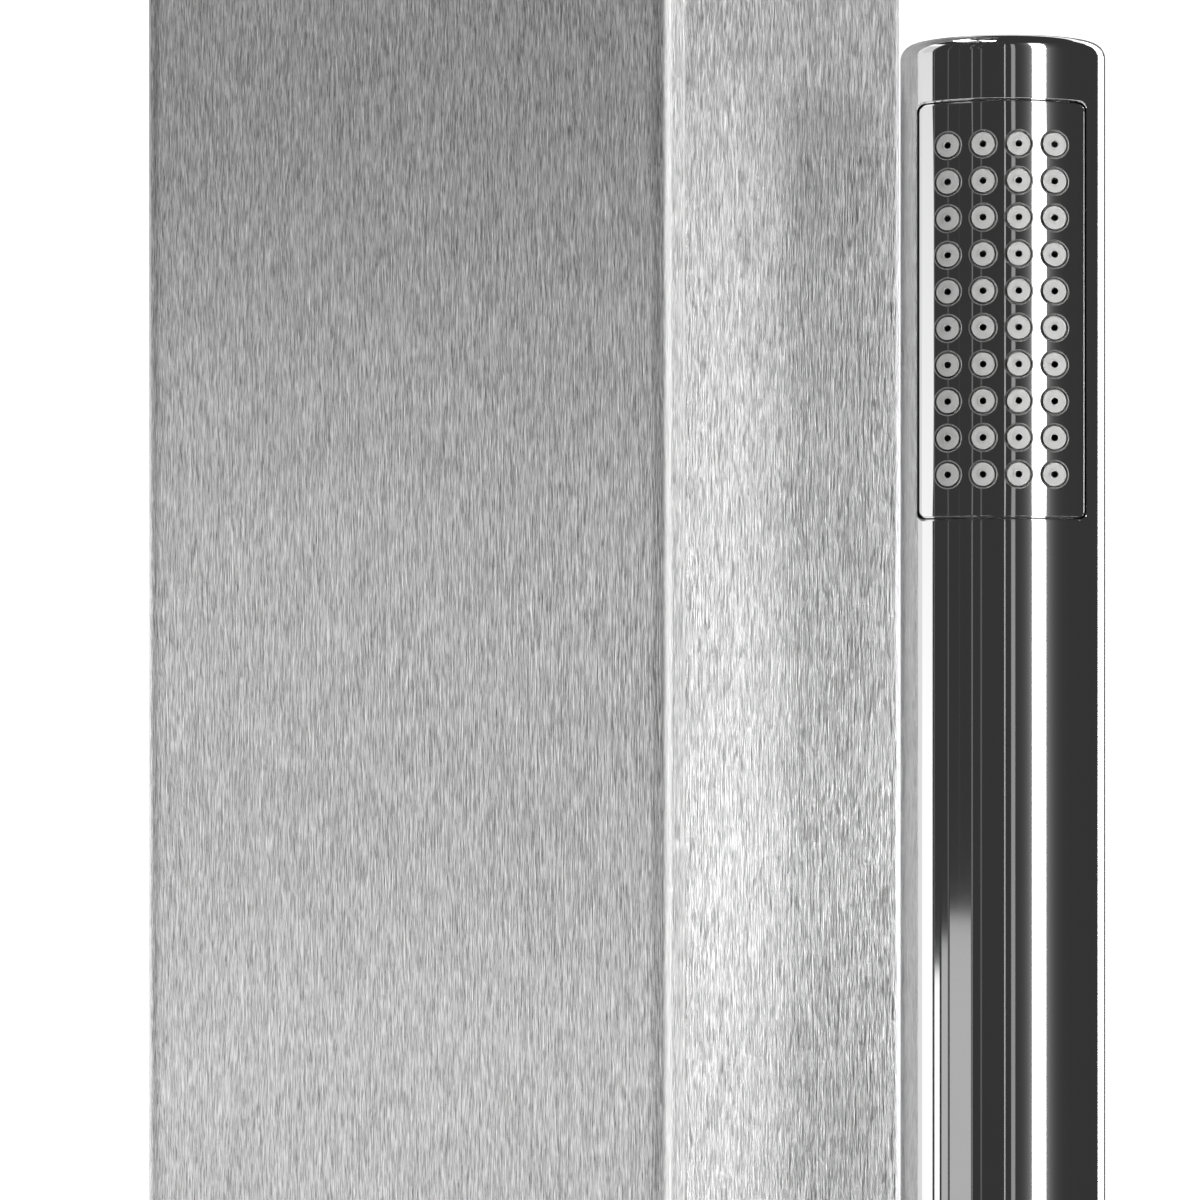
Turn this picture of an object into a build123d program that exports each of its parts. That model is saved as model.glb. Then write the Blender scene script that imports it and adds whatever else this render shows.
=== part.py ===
from build123d import *
import math
import os

# Free-standing outdoor shower. A folded stainless steel column stands on a floor plate. It carries an
# overhead rain head on a ball joint, a single lever mixer, a diverter, a hose outlet, and a round stick
# handset in a tilting holder on its right side. Water pipes and valve bodies are inside the column.
# Millimetres. +Z is up, the front faces -Y and the right side faces +X. The origin is the centre of the
# floor plate's underside. A depth is measured outwards from the column's front face.

# Screws. Shares are of the head's radius and height
RECESS_R_SHARE = 0.5
RECESS_DEPTH_SHARE = 0.55
HEAD_ROUND_SHARE = 0.45

# Bars with a rounded tip: the share of the radius that is rounded
TIP_ROUND_SHARE = 0.6

# Floor plate and the socket that the column slides over
PLATE_SIDE = 230.0
PLATE_THICK = 6.0
PLATE_CORNER = 8.0
PLATE_CHAMFER = 0.8
ANCHOR_PITCH = 180.0
ANCHOR_HOLE_R = 5.5
DRAIN_HOLE_R = 5.0
SOCKET_HEIGHT = 70.0
SOCKET_WALL = 3.0
SOCKET_GAP = 0.4
FIXING_SCREW_UP = 39.0
FIXING_SCREW_PITCH = 20.0
FIXING_SCREW_R = 3.0
FIXING_SCREW_HEAD_R = 5.4
FIXING_SCREW_HEAD_H = 3.2
FIXING_SCREW_REACH = 4.0

# Column, folded from sheet
COLUMN_WIDTH = 100.0
COLUMN_DEPTH = 45.0
COLUMN_LENGTH = 2192.0
SHEET = 1.5
BEND_INSIDE = 0.8
CAP_THICK = 2.0
CAP_SKIRT = 12.0
CAP_SKIRT_WALL = 1.5
CAP_GAP = 0.3

# Service window in the rear wall and its cover panel
WINDOW_WIDTH = 64.0
WINDOW_UP = 214.0
WINDOW_TOP_MARGIN = 60.0
WINDOW_CORNER = 6.0
PANEL_THICK = 1.5
PANEL_OVERLAP = 12.0
PANEL_CORNER = 4.0
PANEL_SCREW_ROWS = 6
PANEL_SCREW_END = 40.0
PANEL_SCREW_R = 2.0
PANEL_SCREW_HEAD_R = 3.8
PANEL_SCREW_HEAD_H = 2.2
RIVET_NUT_R = 3.0
RIVET_NUT_LENGTH = 9.0
RIVET_BULGE_R = 4.2
RIVET_BULGE_H = 2.0

# Heights of what the column carries
INLET_UP = 130.0
MIXER_UP = 985.0
DIVERTER_ABOVE_MIXER = 75.0
HOLDER_ABOVE_OUTLET = 165.0
ARM_BELOW_TOP = 78.0

# Pipe threads and pipes
PIPE_THREAD_R = 10.48
PIPE_THREAD_LENGTH = 14.0
THREAD_CHAMFER = 1.0
THREAD_GAP = 0.05
WALL_THREAD_R = 12.0
LOCKNUT_R = 15.0
LOCKNUT_H = 6.0
HOLE_GAP = 0.3
PIPE_R = 6.0
PIPE_WALL = 1.0
PIPE_GAP = 0.05
PIPE_INSERT = 10.0
SOCKET_STUB_R = 9.0
INLET_HALF_PITCH = 20.0
ELBOW_R = 11.0
ELBOW_RISE = 24.0
INLET_FLANGE_R = 14.0
INLET_FLANGE_T = 4.0
PIPE_NUT_R = 10.0
PIPE_NUT_H = 10.0
CLIP_COUNT = 3
CLIP_WIDTH = 22.0
CLIP_HEIGHT = 14.0
CLIP_BEYOND_PIPE = 3.0

# Overhead arm
ARM_WIDTH = 36.0
ARM_HEIGHT = 18.0
ARM_CORNER = 3.0
ARM_WALL = 1.5
ARM_REACH = 330.0
ARM_TAIL = 26.0
ARM_ROOT_BLOCK = 14.0
ARM_CAP_THICK = 2.0
ARM_CAP_PLUG = 6.0
ARM_PLATE_WIDTH = 56.0
ARM_PLATE_HEIGHT = 38.0
ARM_PLATE_THICK = 4.0
ARM_PLATE_CORNER = 5.0
ARM_NIPPLE_INSIDE = 18.0
ARM_NIPPLE_BORE_R = 7.0
ARM_NUT_R = 15.0
ARM_NUT_H = 7.0
ARM_SHOULDER_R = 14.0
ARM_SHOULDER_H = 2.0
ARM_OUTLET_LENGTH = 10.0
WATER_R = 5.0
ELBOW_WALL = 3.5
RISER_ELBOW_DROP = 30.0

# Ball joint of the rain head
BALL_R = 10.0
BALL_NECK_R = 5.0
BALL_NECK_LENGTH = 6.0
BALL_COLLAR_H = 14.0
BALL_COLLAR_R = 14.0
BALL_BORE_R = 3.5
BALL_RING_T = 1.3
BALL_RING_HALF_H = 3.0
BALL_GAP = 0.1
BALL_NUT_R = 17.5
BALL_NUT_RISE = 6.5
BALL_NUT_DROP = 8.5
BALL_NUT_FLUTES = 24
BALL_NUT_FLUTE_R = 0.9
HUB_NECK_R = 14.0
HUB_NECK_RISE = 1.0
HUB_FLANGE_R = 26.0
HUB_FLANGE_H = 3.0
HUB_DROP = 17.0
HUB_CONE_TOP_DROP = 9.5
BALL_SEAL_R = 1.2
BALL_SEAL_ANGLE = 55.0

# Rain head
HEAD_SIDE = 200.0
HEAD_HEIGHT = 8.0
HEAD_CORNER = 6.0
HEAD_WALL = 1.5
HEAD_EDGE_FILLET = 1.2
HEAD_PLATE_T = 1.5
HEAD_PLATE_GAP = 0.3
HEAD_NOZZLES = 10
HEAD_NOZZLE_PITCH = 16.0
HEAD_NOZZLE_R = 1.9
HEAD_NOZZLE_TIP_R = 1.5
HEAD_NOZZLE_OUT = 1.6
HEAD_NOZZLE_HOLE_R = 0.6
HEAD_NOZZLE_GAP = 0.15
HEAD_MAT_MARGIN = 12.0
HEAD_MAT_T = 1.5
HEAD_GASKET_GAP = 1.0
HEAD_GASKET_W = 3.0
HEAD_SCREW_R = 1.5
HEAD_SCREW_HEAD_R = 2.8
HEAD_SCREW_HEAD_H = 1.2
HEAD_SCREW_INSET = 9.0
HEAD_POST_R = 3.5

# Mixer
ROSETTE_T = 4.0
ROSETTE_FILLET = 1.5
MIXER_ROSETTE_R = 32.0
MIXER_BODY_R = 23.0
MIXER_BODY_LENGTH = 35.0
MIXER_CARTRIDGE_R = 17.4
MIXER_CARTRIDGE_LENGTH = 24.0
MIXER_CARTRIDGE_NOSE_R = 11.0
MIXER_CARTRIDGE_NOSE = 9.0
MIXER_NECK_WALL = 3.0
MIXER_NECK_OUT = 8.0
MIXER_NUT_H = 6.0
CARTRIDGE_GAP = 0.1
MIXER_PIVOT_OUT = 16.0
MIXER_DOME_R = 22.0
MIXER_DOME_WALL = 1.6
MIXER_DOME_OPENING_R = 13.8
MIXER_CAP_GAP = 0.4
MIXER_CAP_WALL = 3.6
MIXER_CAP_EDGE_OUT = 11.0
MIXER_BOSS_R = 5.8
MIXER_BOSS_REACH = 14.0
MIXER_STEM_R = 4.0
MIXER_STEM_REACH = 20.9
MIXER_ROOT_R = 3.2
MIXER_ROOT_HALF_W = 4.4
MIXER_PIN_R = 1.5
MIXER_EAR_T = 2.4
MIXER_EAR_GAP = 0.2
MIXER_ROTOR_R = 9.0
MIXER_ROTOR_T = 2.2
MIXER_SCREW_R = 2.0
MIXER_SCREW_LENGTH = 9.0
MIXER_SCREW_TIP_GAP = 1.0
MIXER_SCREW_HEAD_R = 4.2
MIXER_SCREW_HEAD_H = 1.3
MIXER_BUTTON_T = 1.2
MIXER_LEVER_R = 4.0
MIXER_LEVER_LENGTH = 52.0
MIXER_LEVER_ANGLE = 45.0
MIXER_LEVER_EMBED = 2.4
MIXER_STUB_REACH = 34.0
MIXER_OUTLET_REACH = 30.0

# Diverter
DIVERTER_ROSETTE_R = 26.0
DIVERTER_BODY_R = 17.0
DIVERTER_BODY_LENGTH = 33.0
DIVERTER_NECK_R = 13.0
DIVERTER_NECK_OUT = 10.0
DIVERTER_CARTRIDGE_R = 9.9
DIVERTER_CARTRIDGE_LENGTH = 28.0
DIVERTER_SPINDLE_R = 4.0
DIVERTER_SPINDLE_LENGTH = 28.0
DIVERTER_SPINDLE_IN = 4.0
DIVERTER_KNOB_R = 20.0
DIVERTER_KNOB_LENGTH = 25.0
DIVERTER_KNOB_FILLET = 1.5
DIVERTER_KNOB_STANDOFF = 0.6
DIVERTER_KNOB_CAVITY_R = 14.0
DIVERTER_KNOB_CAVITY = 9.0
DIVERTER_PIN_R = 3.0
DIVERTER_PIN_OUT = 18.0
DIVERTER_PIN_EMBED = 4.0
DIVERTER_GRUB_R = 2.0
DIVERTER_GRUB_LENGTH = 8.0
DIVERTER_GRUB_RECESS = 3.0
DIVERTER_STUB_REACH = 26.0

# Hose outlet on the right side
OUTLET_ROSETTE_R = 27.0
OUTLET_ELBOW_R = 13.0
OUTLET_DROP = 15.0
OUTLET_NIPPLE_INSIDE = 14.0

# Handset holder on the right side
HANDSET_STANDOFF = 34.0
HOLDER_BASE_R = 18.0
HOLDER_BASE_T = 5.0
HOLDER_BASE_FILLET = 1.2
HOLDER_STUB_R = 9.0
HOLDER_STUB_LENGTH = 4.0
HOLDER_WASHER_T = 1.0
HOLDER_HUB_R = 11.0
HOLDER_RING_WALL = 3.1
HOLDER_RING_HEIGHT = 28.0
HOLDER_LINER_WALL = 1.3
HOLDER_LIP_T = 2.0
HOLDER_LIP_W = 1.3
HOLDER_SLOT = 15.0
HOLDER_SEAT_DROP = 10.0
HOLDER_FIT = 0.1
HOLDER_SCREW_R = 2.5
HOLDER_SCREW_HEAD_R = 4.5
HOLDER_SCREW_HEAD_H = 2.4
HOLDER_SCREW_FLOOR = 1.0
HOLDER_SCREW_TIP_GAP = 0.5
HOLDER_BOLT_R = 2.0
HOLDER_BOLT_HEAD_R = 3.5
HOLDER_BOLT_HEAD_H = 2.5
HOLDER_BOLT_HALF_PITCH = 12.0
HOLDER_BOLT_REACH = 3.5

# Stick handset, made with its spray facing -Y and then turned in its holder
HANDSET_R = 12.5
HANDSET_LENGTH = 205.0
HANDSET_WALL = 1.8
HANDSET_TOP_T = 2.5
HANDSET_TOP_FILLET = 1.8
HANDSET_TURN = 37.6
HANDSET_SEAT_GAP = 0.1
SPRAY_TOP = 7.9
SPRAY_HEIGHT = 50.3
SPRAY_HALF_WIDTH = 10.18
SPRAY_PLATE_T = 1.3
SPRAY_PLATE_GAP = 0.18
SPRAY_CORNER = 0.9
SPRAY_ROWS = 10
SPRAY_COLUMNS = 4
SPRAY_ROW_PITCH = 4.4
SPRAY_COLUMN_PITCH = 4.27
SPRAY_EDGE_CHAMFER = 0.18
SPRAY_NOZZLE_R = 1.38
SPRAY_NOZZLE_HOLE_R = 0.42
SPRAY_NOZZLE_RING_GAP = 0.2
SPRAY_NOZZLE_PROUD = 0.15
SPRAY_NOZZLE_LIP_R = 0.62
SPRAY_NOZZLE_LIP_H = 0.12
SPRAY_MAT_T = 0.6
SPRAY_MAT_GAP = 0.05
SPRAY_MAT_SIDE_GAP = 0.4
WATERWAY_GAP = 0.2
WATERWAY_GRIP_R = 7.6
WATERWAY_BORE_R = 6.0
WATERWAY_HEAD_MARGIN = 6.0
WATERWAY_TOP_MARGIN = 3.0
WATERWAY_ABOVE_CONNECTOR = 1.0
WATERWAY_CHAMBER_WALL = 1.6
END_BUSH_H = 12.0
END_BUSH_BORE_R = 7.6
CONNECTOR_GAP = 0.15
CONNECTOR_FLANGE_R = 11.0
CONNECTOR_FLANGE_T = 2.5
CONNECTOR_UNDERCUT_R = 9.5
CONNECTOR_UNDERCUT = 2.6
CONNECTOR_THREAD = 12.0
CONNECTOR_BORE_R = 4.5
CONNECTOR_CLIP_T = 1.1
CONNECTOR_CLIP_R = 9.5
CONNECTOR_CLIP_DEPTH = 1.2
CONNECTOR_ABOVE_CLIP = 1.5
CONNECTOR_CLIP_OPENING = 8.0
CONNECTOR_SEAL_R = 0.6
CONNECTOR_WASHER_R = 7.9
CONNECTOR_WASHER_T = 2.5

# How near two radii have to be to count as the same
SAME_RADIUS = 1e-4

# Places worked out from the sizes above
BOTTOM = (Align.CENTER, Align.CENTER, Align.MIN)
BEND_OUTSIDE = BEND_INSIDE + SHEET
HALF_WIDTH = COLUMN_WIDTH / 2
HALF_DEPTH = COLUMN_DEPTH / 2
INNER_WIDTH = COLUMN_WIDTH - 2 * SHEET
INNER_DEPTH = COLUMN_DEPTH - 2 * SHEET
COLUMN_TOP = PLATE_THICK + COLUMN_LENGTH
WINDOW_LOW = PLATE_THICK + WINDOW_UP
WINDOW_HIGH = COLUMN_TOP - WINDOW_TOP_MARGIN
DIVERTER_UP = MIXER_UP + DIVERTER_ABOVE_MIXER
HOLDER_UP = DIVERTER_UP + HOLDER_ABOVE_OUTLET
ARM_UP = COLUMN_TOP - ARM_BELOW_TOP
HANDSET_X = HALF_WIDTH + HANDSET_STANDOFF
HANDSET_FOOT = HOLDER_UP - HOLDER_SEAT_DROP + HANDSET_SEAT_GAP
HANDSET_BORE_R = HANDSET_R - HANDSET_WALL
FRONT, REAR = (0, -1, 0), (0, 1, 0)
RIGHT, LEFT = (1, 0, 0), (-1, 0, 0)
UP, DOWN = (0, 0, 1), (0, 0, -1)


def front_y(depth):
    """The Y of a point this far outwards from the column's front face."""
    return -HALF_DEPTH - depth


def rod(radius, start, direction, length):
    """A round bar from a point along a direction."""
    return Plane(origin=start, z_dir=direction) * Cylinder(radius, length, align=BOTTOM)


def pipe(outer, inner, start, direction, length):
    """A round bar with a bore right through it."""
    return rod(outer, start, direction, length) - rod(inner, start, direction, length)


def hexagon(across_corners_r, start, direction, length):
    """A hexagonal bar."""
    return Plane(origin=start, z_dir=direction) * extrude(RegularPolygon(across_corners_r, 6), length)


def nut(across_corners_r, bore_r, start, direction, length):
    """A hexagonal nut with a plain bore."""
    return hexagon(across_corners_r, start, direction, length) - rod(bore_r, start, direction, length)


def block(low, high):
    """A box between two corners."""
    size = [b - a for a, b in zip(low, high)]
    centre = [(a + b) / 2 for a, b in zip(low, high)]
    return Pos(*centre) * Box(*size)


def turned(points, start, direction):
    """A solid of revolution: points are (radius, distance along the direction)."""
    outline = make_face(Polyline([(r, 0, t) for r, t in points], close=True))
    return Plane(origin=start, z_dir=direction) * revolve(outline, Axis.Z)


def rim_edges(solid, radius):
    """The circular edges of a solid that have this radius."""
    circles = solid.edges().filter_by(GeomType.CIRCLE)
    return circles.filter_by(lambda edge: abs(edge.radius - radius) < SAME_RADIUS)


def edge_at(solid, radius, axis, last=True):
    """The outermost circular edge of that radius along an axis."""
    found = rim_edges(solid, radius).sort_by(axis)
    return found[-1] if last else found[0]


def screw(shank_r, shank_length, head_r, head_h, seat, inwards):
    """A round head on a shank that goes inwards from its seat."""
    outwards = tuple(-c for c in inwards)
    head = rod(head_r, seat, outwards, head_h)
    rim = rim_edges(head, head_r).sort_by(Axis(seat, outwards))[-1]
    head = fillet(rim, head_h * HEAD_ROUND_SHARE)
    top = tuple(s + head_h * c for s, c in zip(seat, outwards))
    head -= hexagon(head_r * RECESS_R_SHARE, top, inwards, head_h * RECESS_DEPTH_SHARE)
    return head + rod(shank_r, seat, inwards, shank_length)


def save(name, *solids):
    """Writes one sub-part, of one or several separate solids."""
    shape = solids[0] if len(solids) == 1 else Compound(children=[Part() + s for s in solids])
    export_step(shape, os.path.join("parts", name + ".step"))


# Floor plate, socket and the screws that hold the column on it


def anchor_points():
    half = ANCHOR_PITCH / 2
    return [(x, y) for x in (-half, half) for y in (-half, half)]


def fixing_points():
    """Where the fixing screws cross the column's side walls: (y, outward direction)."""
    half = FIXING_SCREW_PITCH / 2
    return [(y, side) for side in (LEFT, RIGHT) for y in (-half, half)]


def base_plate():
    plate = extrude(RectangleRounded(PLATE_SIDE, PLATE_SIDE, PLATE_CORNER), PLATE_THICK)
    plate = chamfer(plate.faces().sort_by(Axis.Z)[-1].edges(), PLATE_CHAMFER)
    for x, y in anchor_points():
        plate -= rod(ANCHOR_HOLE_R, (x, y, 0), UP, PLATE_THICK)
    return plate - rod(DRAIN_HOLE_R, (0, 0, 0), UP, PLATE_THICK)


def base_socket():
    width = INNER_WIDTH - 2 * SOCKET_GAP
    depth = INNER_DEPTH - 2 * SOCKET_GAP
    outer = RectangleRounded(width, depth, BEND_INSIDE + SOCKET_GAP)
    inner = Rectangle(width - 2 * SOCKET_WALL, depth - 2 * SOCKET_WALL)
    ring = Pos(0, 0, PLATE_THICK) * extrude(outer - inner, SOCKET_HEIGHT)
    for y, side in fixing_points():
        start = (0, y, PLATE_THICK + FIXING_SCREW_UP)
        ring -= rod(FIXING_SCREW_R + THREAD_GAP, start, side, COLUMN_WIDTH)
    return ring


def fixing_screws():
    length = SHEET + SOCKET_GAP + SOCKET_WALL + FIXING_SCREW_REACH
    made = []
    for y, side in fixing_points():
        seat = (side[0] * HALF_WIDTH, y, PLATE_THICK + FIXING_SCREW_UP)
        inwards = (-side[0], 0, 0)
        made.append(screw(FIXING_SCREW_R, length, FIXING_SCREW_HEAD_R, FIXING_SCREW_HEAD_H, seat, inwards))
    return made


# Column, its cap and its service panel


def panel_screw_points():
    """Where the panel screws cross the rear wall: (x, z)."""
    x = (WINDOW_WIDTH + PANEL_OVERLAP) / 2
    low, high = WINDOW_LOW + PANEL_SCREW_END, WINDOW_HIGH - PANEL_SCREW_END
    step = (high - low) / (PANEL_SCREW_ROWS - 1)
    return [(side * x, low + row * step) for row in range(PANEL_SCREW_ROWS) for side in (-1, 1)]


def inlet_points():
    return [-INLET_HALF_PITCH, INLET_HALF_PITCH]


def column_shell():
    outer = RectangleRounded(COLUMN_WIDTH, COLUMN_DEPTH, BEND_OUTSIDE)
    inner = RectangleRounded(INNER_WIDTH, INNER_DEPTH, BEND_INSIDE)
    shell = Pos(0, 0, PLATE_THICK) * extrude(outer - inner, COLUMN_LENGTH)
    window = RectangleRounded(WINDOW_WIDTH, WINDOW_HIGH - WINDOW_LOW, WINDOW_CORNER)
    window = Rot(90, 0, 0) * extrude(window, 2 * SHEET, both=True)
    shell -= Pos(0, HALF_DEPTH, (WINDOW_LOW + WINDOW_HIGH) / 2) * window
    for x, z in panel_screw_points():
        shell -= rod(RIVET_NUT_R + HOLE_GAP / 2, (x, 0, z), REAR, COLUMN_DEPTH)
    for y, side in fixing_points():
        start = (0, y, PLATE_THICK + FIXING_SCREW_UP)
        shell -= rod(FIXING_SCREW_R + HOLE_GAP, start, side, COLUMN_WIDTH)
    for x in inlet_points():
        shell -= rod(WALL_THREAD_R + HOLE_GAP, (x, 0, INLET_UP), REAR, COLUMN_DEPTH)
    shell -= rod(mixer_neck_r() + HOLE_GAP, (0, 0, MIXER_UP), FRONT, COLUMN_DEPTH)
    shell -= rod(DIVERTER_NECK_R + HOLE_GAP, (0, 0, DIVERTER_UP), FRONT, COLUMN_DEPTH)
    shell -= rod(PIPE_THREAD_R + HOLE_GAP, (0, 0, ARM_UP), FRONT, COLUMN_DEPTH)
    shell -= rod(WALL_THREAD_R + HOLE_GAP, (0, 0, DIVERTER_UP), RIGHT, COLUMN_WIDTH)
    for y in holder_bolt_places():
        shell -= rod(HOLDER_BOLT_R + HOLE_GAP, (0, y, HOLDER_UP), RIGHT, COLUMN_WIDTH)
    return shell


def top_cap():
    lid = extrude(RectangleRounded(COLUMN_WIDTH, COLUMN_DEPTH, BEND_OUTSIDE), CAP_THICK)
    width, depth = INNER_WIDTH - 2 * CAP_GAP, INNER_DEPTH - 2 * CAP_GAP
    outer = RectangleRounded(width, depth, BEND_INSIDE + CAP_GAP)
    inner = Rectangle(width - 2 * CAP_SKIRT_WALL, depth - 2 * CAP_SKIRT_WALL)
    skirt = extrude(outer - inner, -CAP_SKIRT)
    return Pos(0, 0, COLUMN_TOP) * (lid + skirt)


def rear_panel():
    width = WINDOW_WIDTH + 2 * PANEL_OVERLAP
    height = WINDOW_HIGH - WINDOW_LOW + 2 * PANEL_OVERLAP
    sheet = Rot(90, 0, 0) * extrude(RectangleRounded(width, height, PANEL_CORNER), -PANEL_THICK)
    sheet = Pos(0, HALF_DEPTH, (WINDOW_LOW + WINDOW_HIGH) / 2) * sheet
    for x, z in panel_screw_points():
        sheet -= rod(PANEL_SCREW_R + HOLE_GAP, (x, 0, z), REAR, COLUMN_DEPTH)
    return sheet


def panel_screws():
    length = PANEL_THICK + RIVET_NUT_LENGTH
    seat_y = HALF_DEPTH + PANEL_THICK
    return [
        screw(PANEL_SCREW_R, length, PANEL_SCREW_HEAD_R, PANEL_SCREW_HEAD_H, (x, seat_y, z), FRONT)
        for x, z in panel_screw_points()
    ]


def panel_rivet_nuts():
    bore = PANEL_SCREW_R + THREAD_GAP
    made = []
    for x, z in panel_screw_points():
        nut = pipe(RIVET_NUT_R, bore, (x, HALF_DEPTH, z), FRONT, RIVET_NUT_LENGTH)
        made.append(nut + pipe(RIVET_BULGE_R, bore, (x, HALF_DEPTH - SHEET, z), FRONT, RIVET_BULGE_H))
    return made


# Water inlets and pipes


def inlet_elbow(x):
    """A threaded nipple through the rear wall that turns up inside the column."""
    centre = (x, 0, INLET_UP)
    inner_face = HALF_DEPTH - SHEET
    wall_end = HALF_DEPTH + LOCKNUT_H
    body = Pos(*centre) * Sphere(ELBOW_R)
    body += rod(ELBOW_R, centre, REAR, inner_face)
    body += rod(INLET_FLANGE_R, (x, inner_face, INLET_UP), FRONT, INLET_FLANGE_T)
    body += rod(WALL_THREAD_R, (x, inner_face, INLET_UP), REAR, SHEET + LOCKNUT_H)
    thread = rod(PIPE_THREAD_R, (x, wall_end, INLET_UP), REAR, PIPE_THREAD_LENGTH)
    body += chamfer(edge_at(thread, PIPE_THREAD_R, Axis.Y), THREAD_CHAMFER)
    body += rod(SOCKET_STUB_R, centre, UP, ELBOW_RISE)
    body -= rod(PIPE_R - PIPE_WALL, centre, REAR, wall_end + PIPE_THREAD_LENGTH)
    body -= rod(PIPE_R - PIPE_WALL, centre, UP, ELBOW_RISE)
    socket = (x, 0, INLET_UP + ELBOW_RISE)
    return body - rod(PIPE_R + PIPE_GAP, socket, DOWN, PIPE_INSERT)


def inlet_locknuts():
    return [
        nut(LOCKNUT_R, WALL_THREAD_R + THREAD_GAP, (x, HALF_DEPTH, INLET_UP), REAR, LOCKNUT_H)
        for x in inlet_points()
    ]


def straight_pipe(start, direction, length):
    return pipe(PIPE_R, PIPE_R - PIPE_WALL, start, direction, length)


def supply_span():
    """The lowest and highest point of the two supply pipes."""
    return INLET_UP + ELBOW_RISE - PIPE_INSERT, MIXER_UP - MIXER_STUB_REACH + PIPE_INSERT


def supply_pipe(x):
    low, high = supply_span()
    return straight_pipe((x, 0, low), UP, high - low)


def supply_nuts():
    """The compression nuts at both ends of each supply pipe."""
    low, high = supply_span()
    made = []
    for x in inlet_points():
        lower = (x, 0, low + PIPE_INSERT)
        upper = (x, 0, high - PIPE_INSERT)
        made.append(nut(PIPE_NUT_R, PIPE_R + PIPE_GAP, lower, UP, PIPE_NUT_H))
        made.append(nut(PIPE_NUT_R, PIPE_R + PIPE_GAP, upper, DOWN, PIPE_NUT_H))
    return made


def link_pipe():
    low = MIXER_UP + MIXER_OUTLET_REACH - PIPE_INSERT
    high = DIVERTER_UP - DIVERTER_STUB_REACH + PIPE_INSERT
    return straight_pipe((0, 0, low), UP, high - low)


def riser_span():
    return DIVERTER_UP + DIVERTER_STUB_REACH - PIPE_INSERT, ARM_UP - RISER_ELBOW_DROP + PIPE_INSERT


def riser_pipe():
    low, high = riser_span()
    return straight_pipe((0, 0, low), UP, high - low)


def riser_clips():
    """Saddle blocks that hold the riser off the inside of the front wall."""
    low, high = riser_span()
    step = (high - low) / (CLIP_COUNT + 1)
    made = []
    for row in range(1, CLIP_COUNT + 1):
        z = low + row * step
        inner_face = front_y(-SHEET)
        saddle = block(
            (-CLIP_WIDTH / 2, inner_face, z - CLIP_HEIGHT / 2),
            (CLIP_WIDTH / 2, PIPE_R + CLIP_BEYOND_PIPE, z + CLIP_HEIGHT / 2),
        )
        made.append(saddle - rod(PIPE_R + PIPE_GAP, (0, 0, z - CLIP_HEIGHT), UP, 2 * CLIP_HEIGHT))
    return made


def hand_pipe():
    start = DIVERTER_STUB_REACH - PIPE_INSERT
    end = HALF_WIDTH - SHEET - OUTLET_NIPPLE_INSIDE + PIPE_INSERT
    return straight_pipe((start, 0, DIVERTER_UP), RIGHT, end - start)


# Overhead arm


def arm_plate():
    plate = extrude(RectangleRounded(ARM_PLATE_WIDTH, ARM_PLATE_HEIGHT, ARM_PLATE_CORNER), ARM_PLATE_THICK)
    plate = chamfer(plate.faces().sort_by(Axis.Z)[-1].edges(), PLATE_CHAMFER)
    plate = Pos(0, front_y(0), ARM_UP) * Rot(90, 0, 0) * plate
    return plate - rod(PIPE_THREAD_R + HOLE_GAP, (0, 0, ARM_UP), FRONT, COLUMN_DEPTH)


def arm_span():
    """The Y where the arm starts, where the head hangs, and where the tube ends."""
    start = front_y(ARM_PLATE_THICK)
    return start, front_y(ARM_REACH), front_y(ARM_REACH + ARM_TAIL - ARM_CAP_THICK)


def arm_tube():
    start, head_y, end = arm_span()
    length = start - end
    outer = extrude(RectangleRounded(ARM_WIDTH, ARM_HEIGHT, ARM_CORNER), length)
    channel = RectangleRounded(ARM_WIDTH - 2 * ARM_WALL, ARM_HEIGHT - 2 * ARM_WALL, ARM_CORNER - ARM_WALL)
    outer -= Pos(0, 0, ARM_ROOT_BLOCK) * extrude(channel, length)
    tube = Pos(0, start, ARM_UP) * Rot(90, 0, 0) * outer
    tube -= rod(PIPE_THREAD_R + THREAD_GAP, (0, start, ARM_UP), FRONT, ARM_ROOT_BLOCK - ARM_WALL)
    tube -= rod(ARM_NIPPLE_BORE_R, (0, start, ARM_UP), FRONT, ARM_ROOT_BLOCK + ARM_WALL)
    underside = (0, head_y, ARM_UP - ARM_HEIGHT / 2)
    tube += rod(ARM_SHOULDER_R, underside, DOWN, ARM_SHOULDER_H)
    tube += rod(PIPE_THREAD_R, underside, DOWN, ARM_SHOULDER_H + ARM_OUTLET_LENGTH)
    tube -= rod(WATER_R, (0, head_y, ARM_UP), DOWN, ARM_HEIGHT + ARM_OUTLET_LENGTH)
    return tube


def arm_end_cap():
    end = arm_span()[2]
    face = extrude(RectangleRounded(ARM_WIDTH, ARM_HEIGHT, ARM_CORNER), ARM_CAP_THICK)
    face = chamfer(face.faces().sort_by(Axis.Z)[-1].edges(), PLATE_CHAMFER)
    inside = 2 * (ARM_WALL + THREAD_GAP)
    plug = RectangleRounded(ARM_WIDTH - inside, ARM_HEIGHT - inside, ARM_CORNER - ARM_WALL)
    return Pos(0, end, ARM_UP) * Rot(90, 0, 0) * (face + extrude(plug, -ARM_CAP_PLUG))


def arm_nipple():
    outside = ARM_PLATE_THICK + ARM_ROOT_BLOCK - ARM_WALL
    length = outside + SHEET + ARM_NIPPLE_INSIDE
    return pipe(PIPE_THREAD_R, ARM_NIPPLE_BORE_R, (0, front_y(outside), ARM_UP), REAR, length)


def arm_backing_nut():
    start = (0, front_y(-SHEET), ARM_UP)
    return nut(ARM_NUT_R, PIPE_THREAD_R + THREAD_GAP, start, REAR, ARM_NUT_H)


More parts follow.
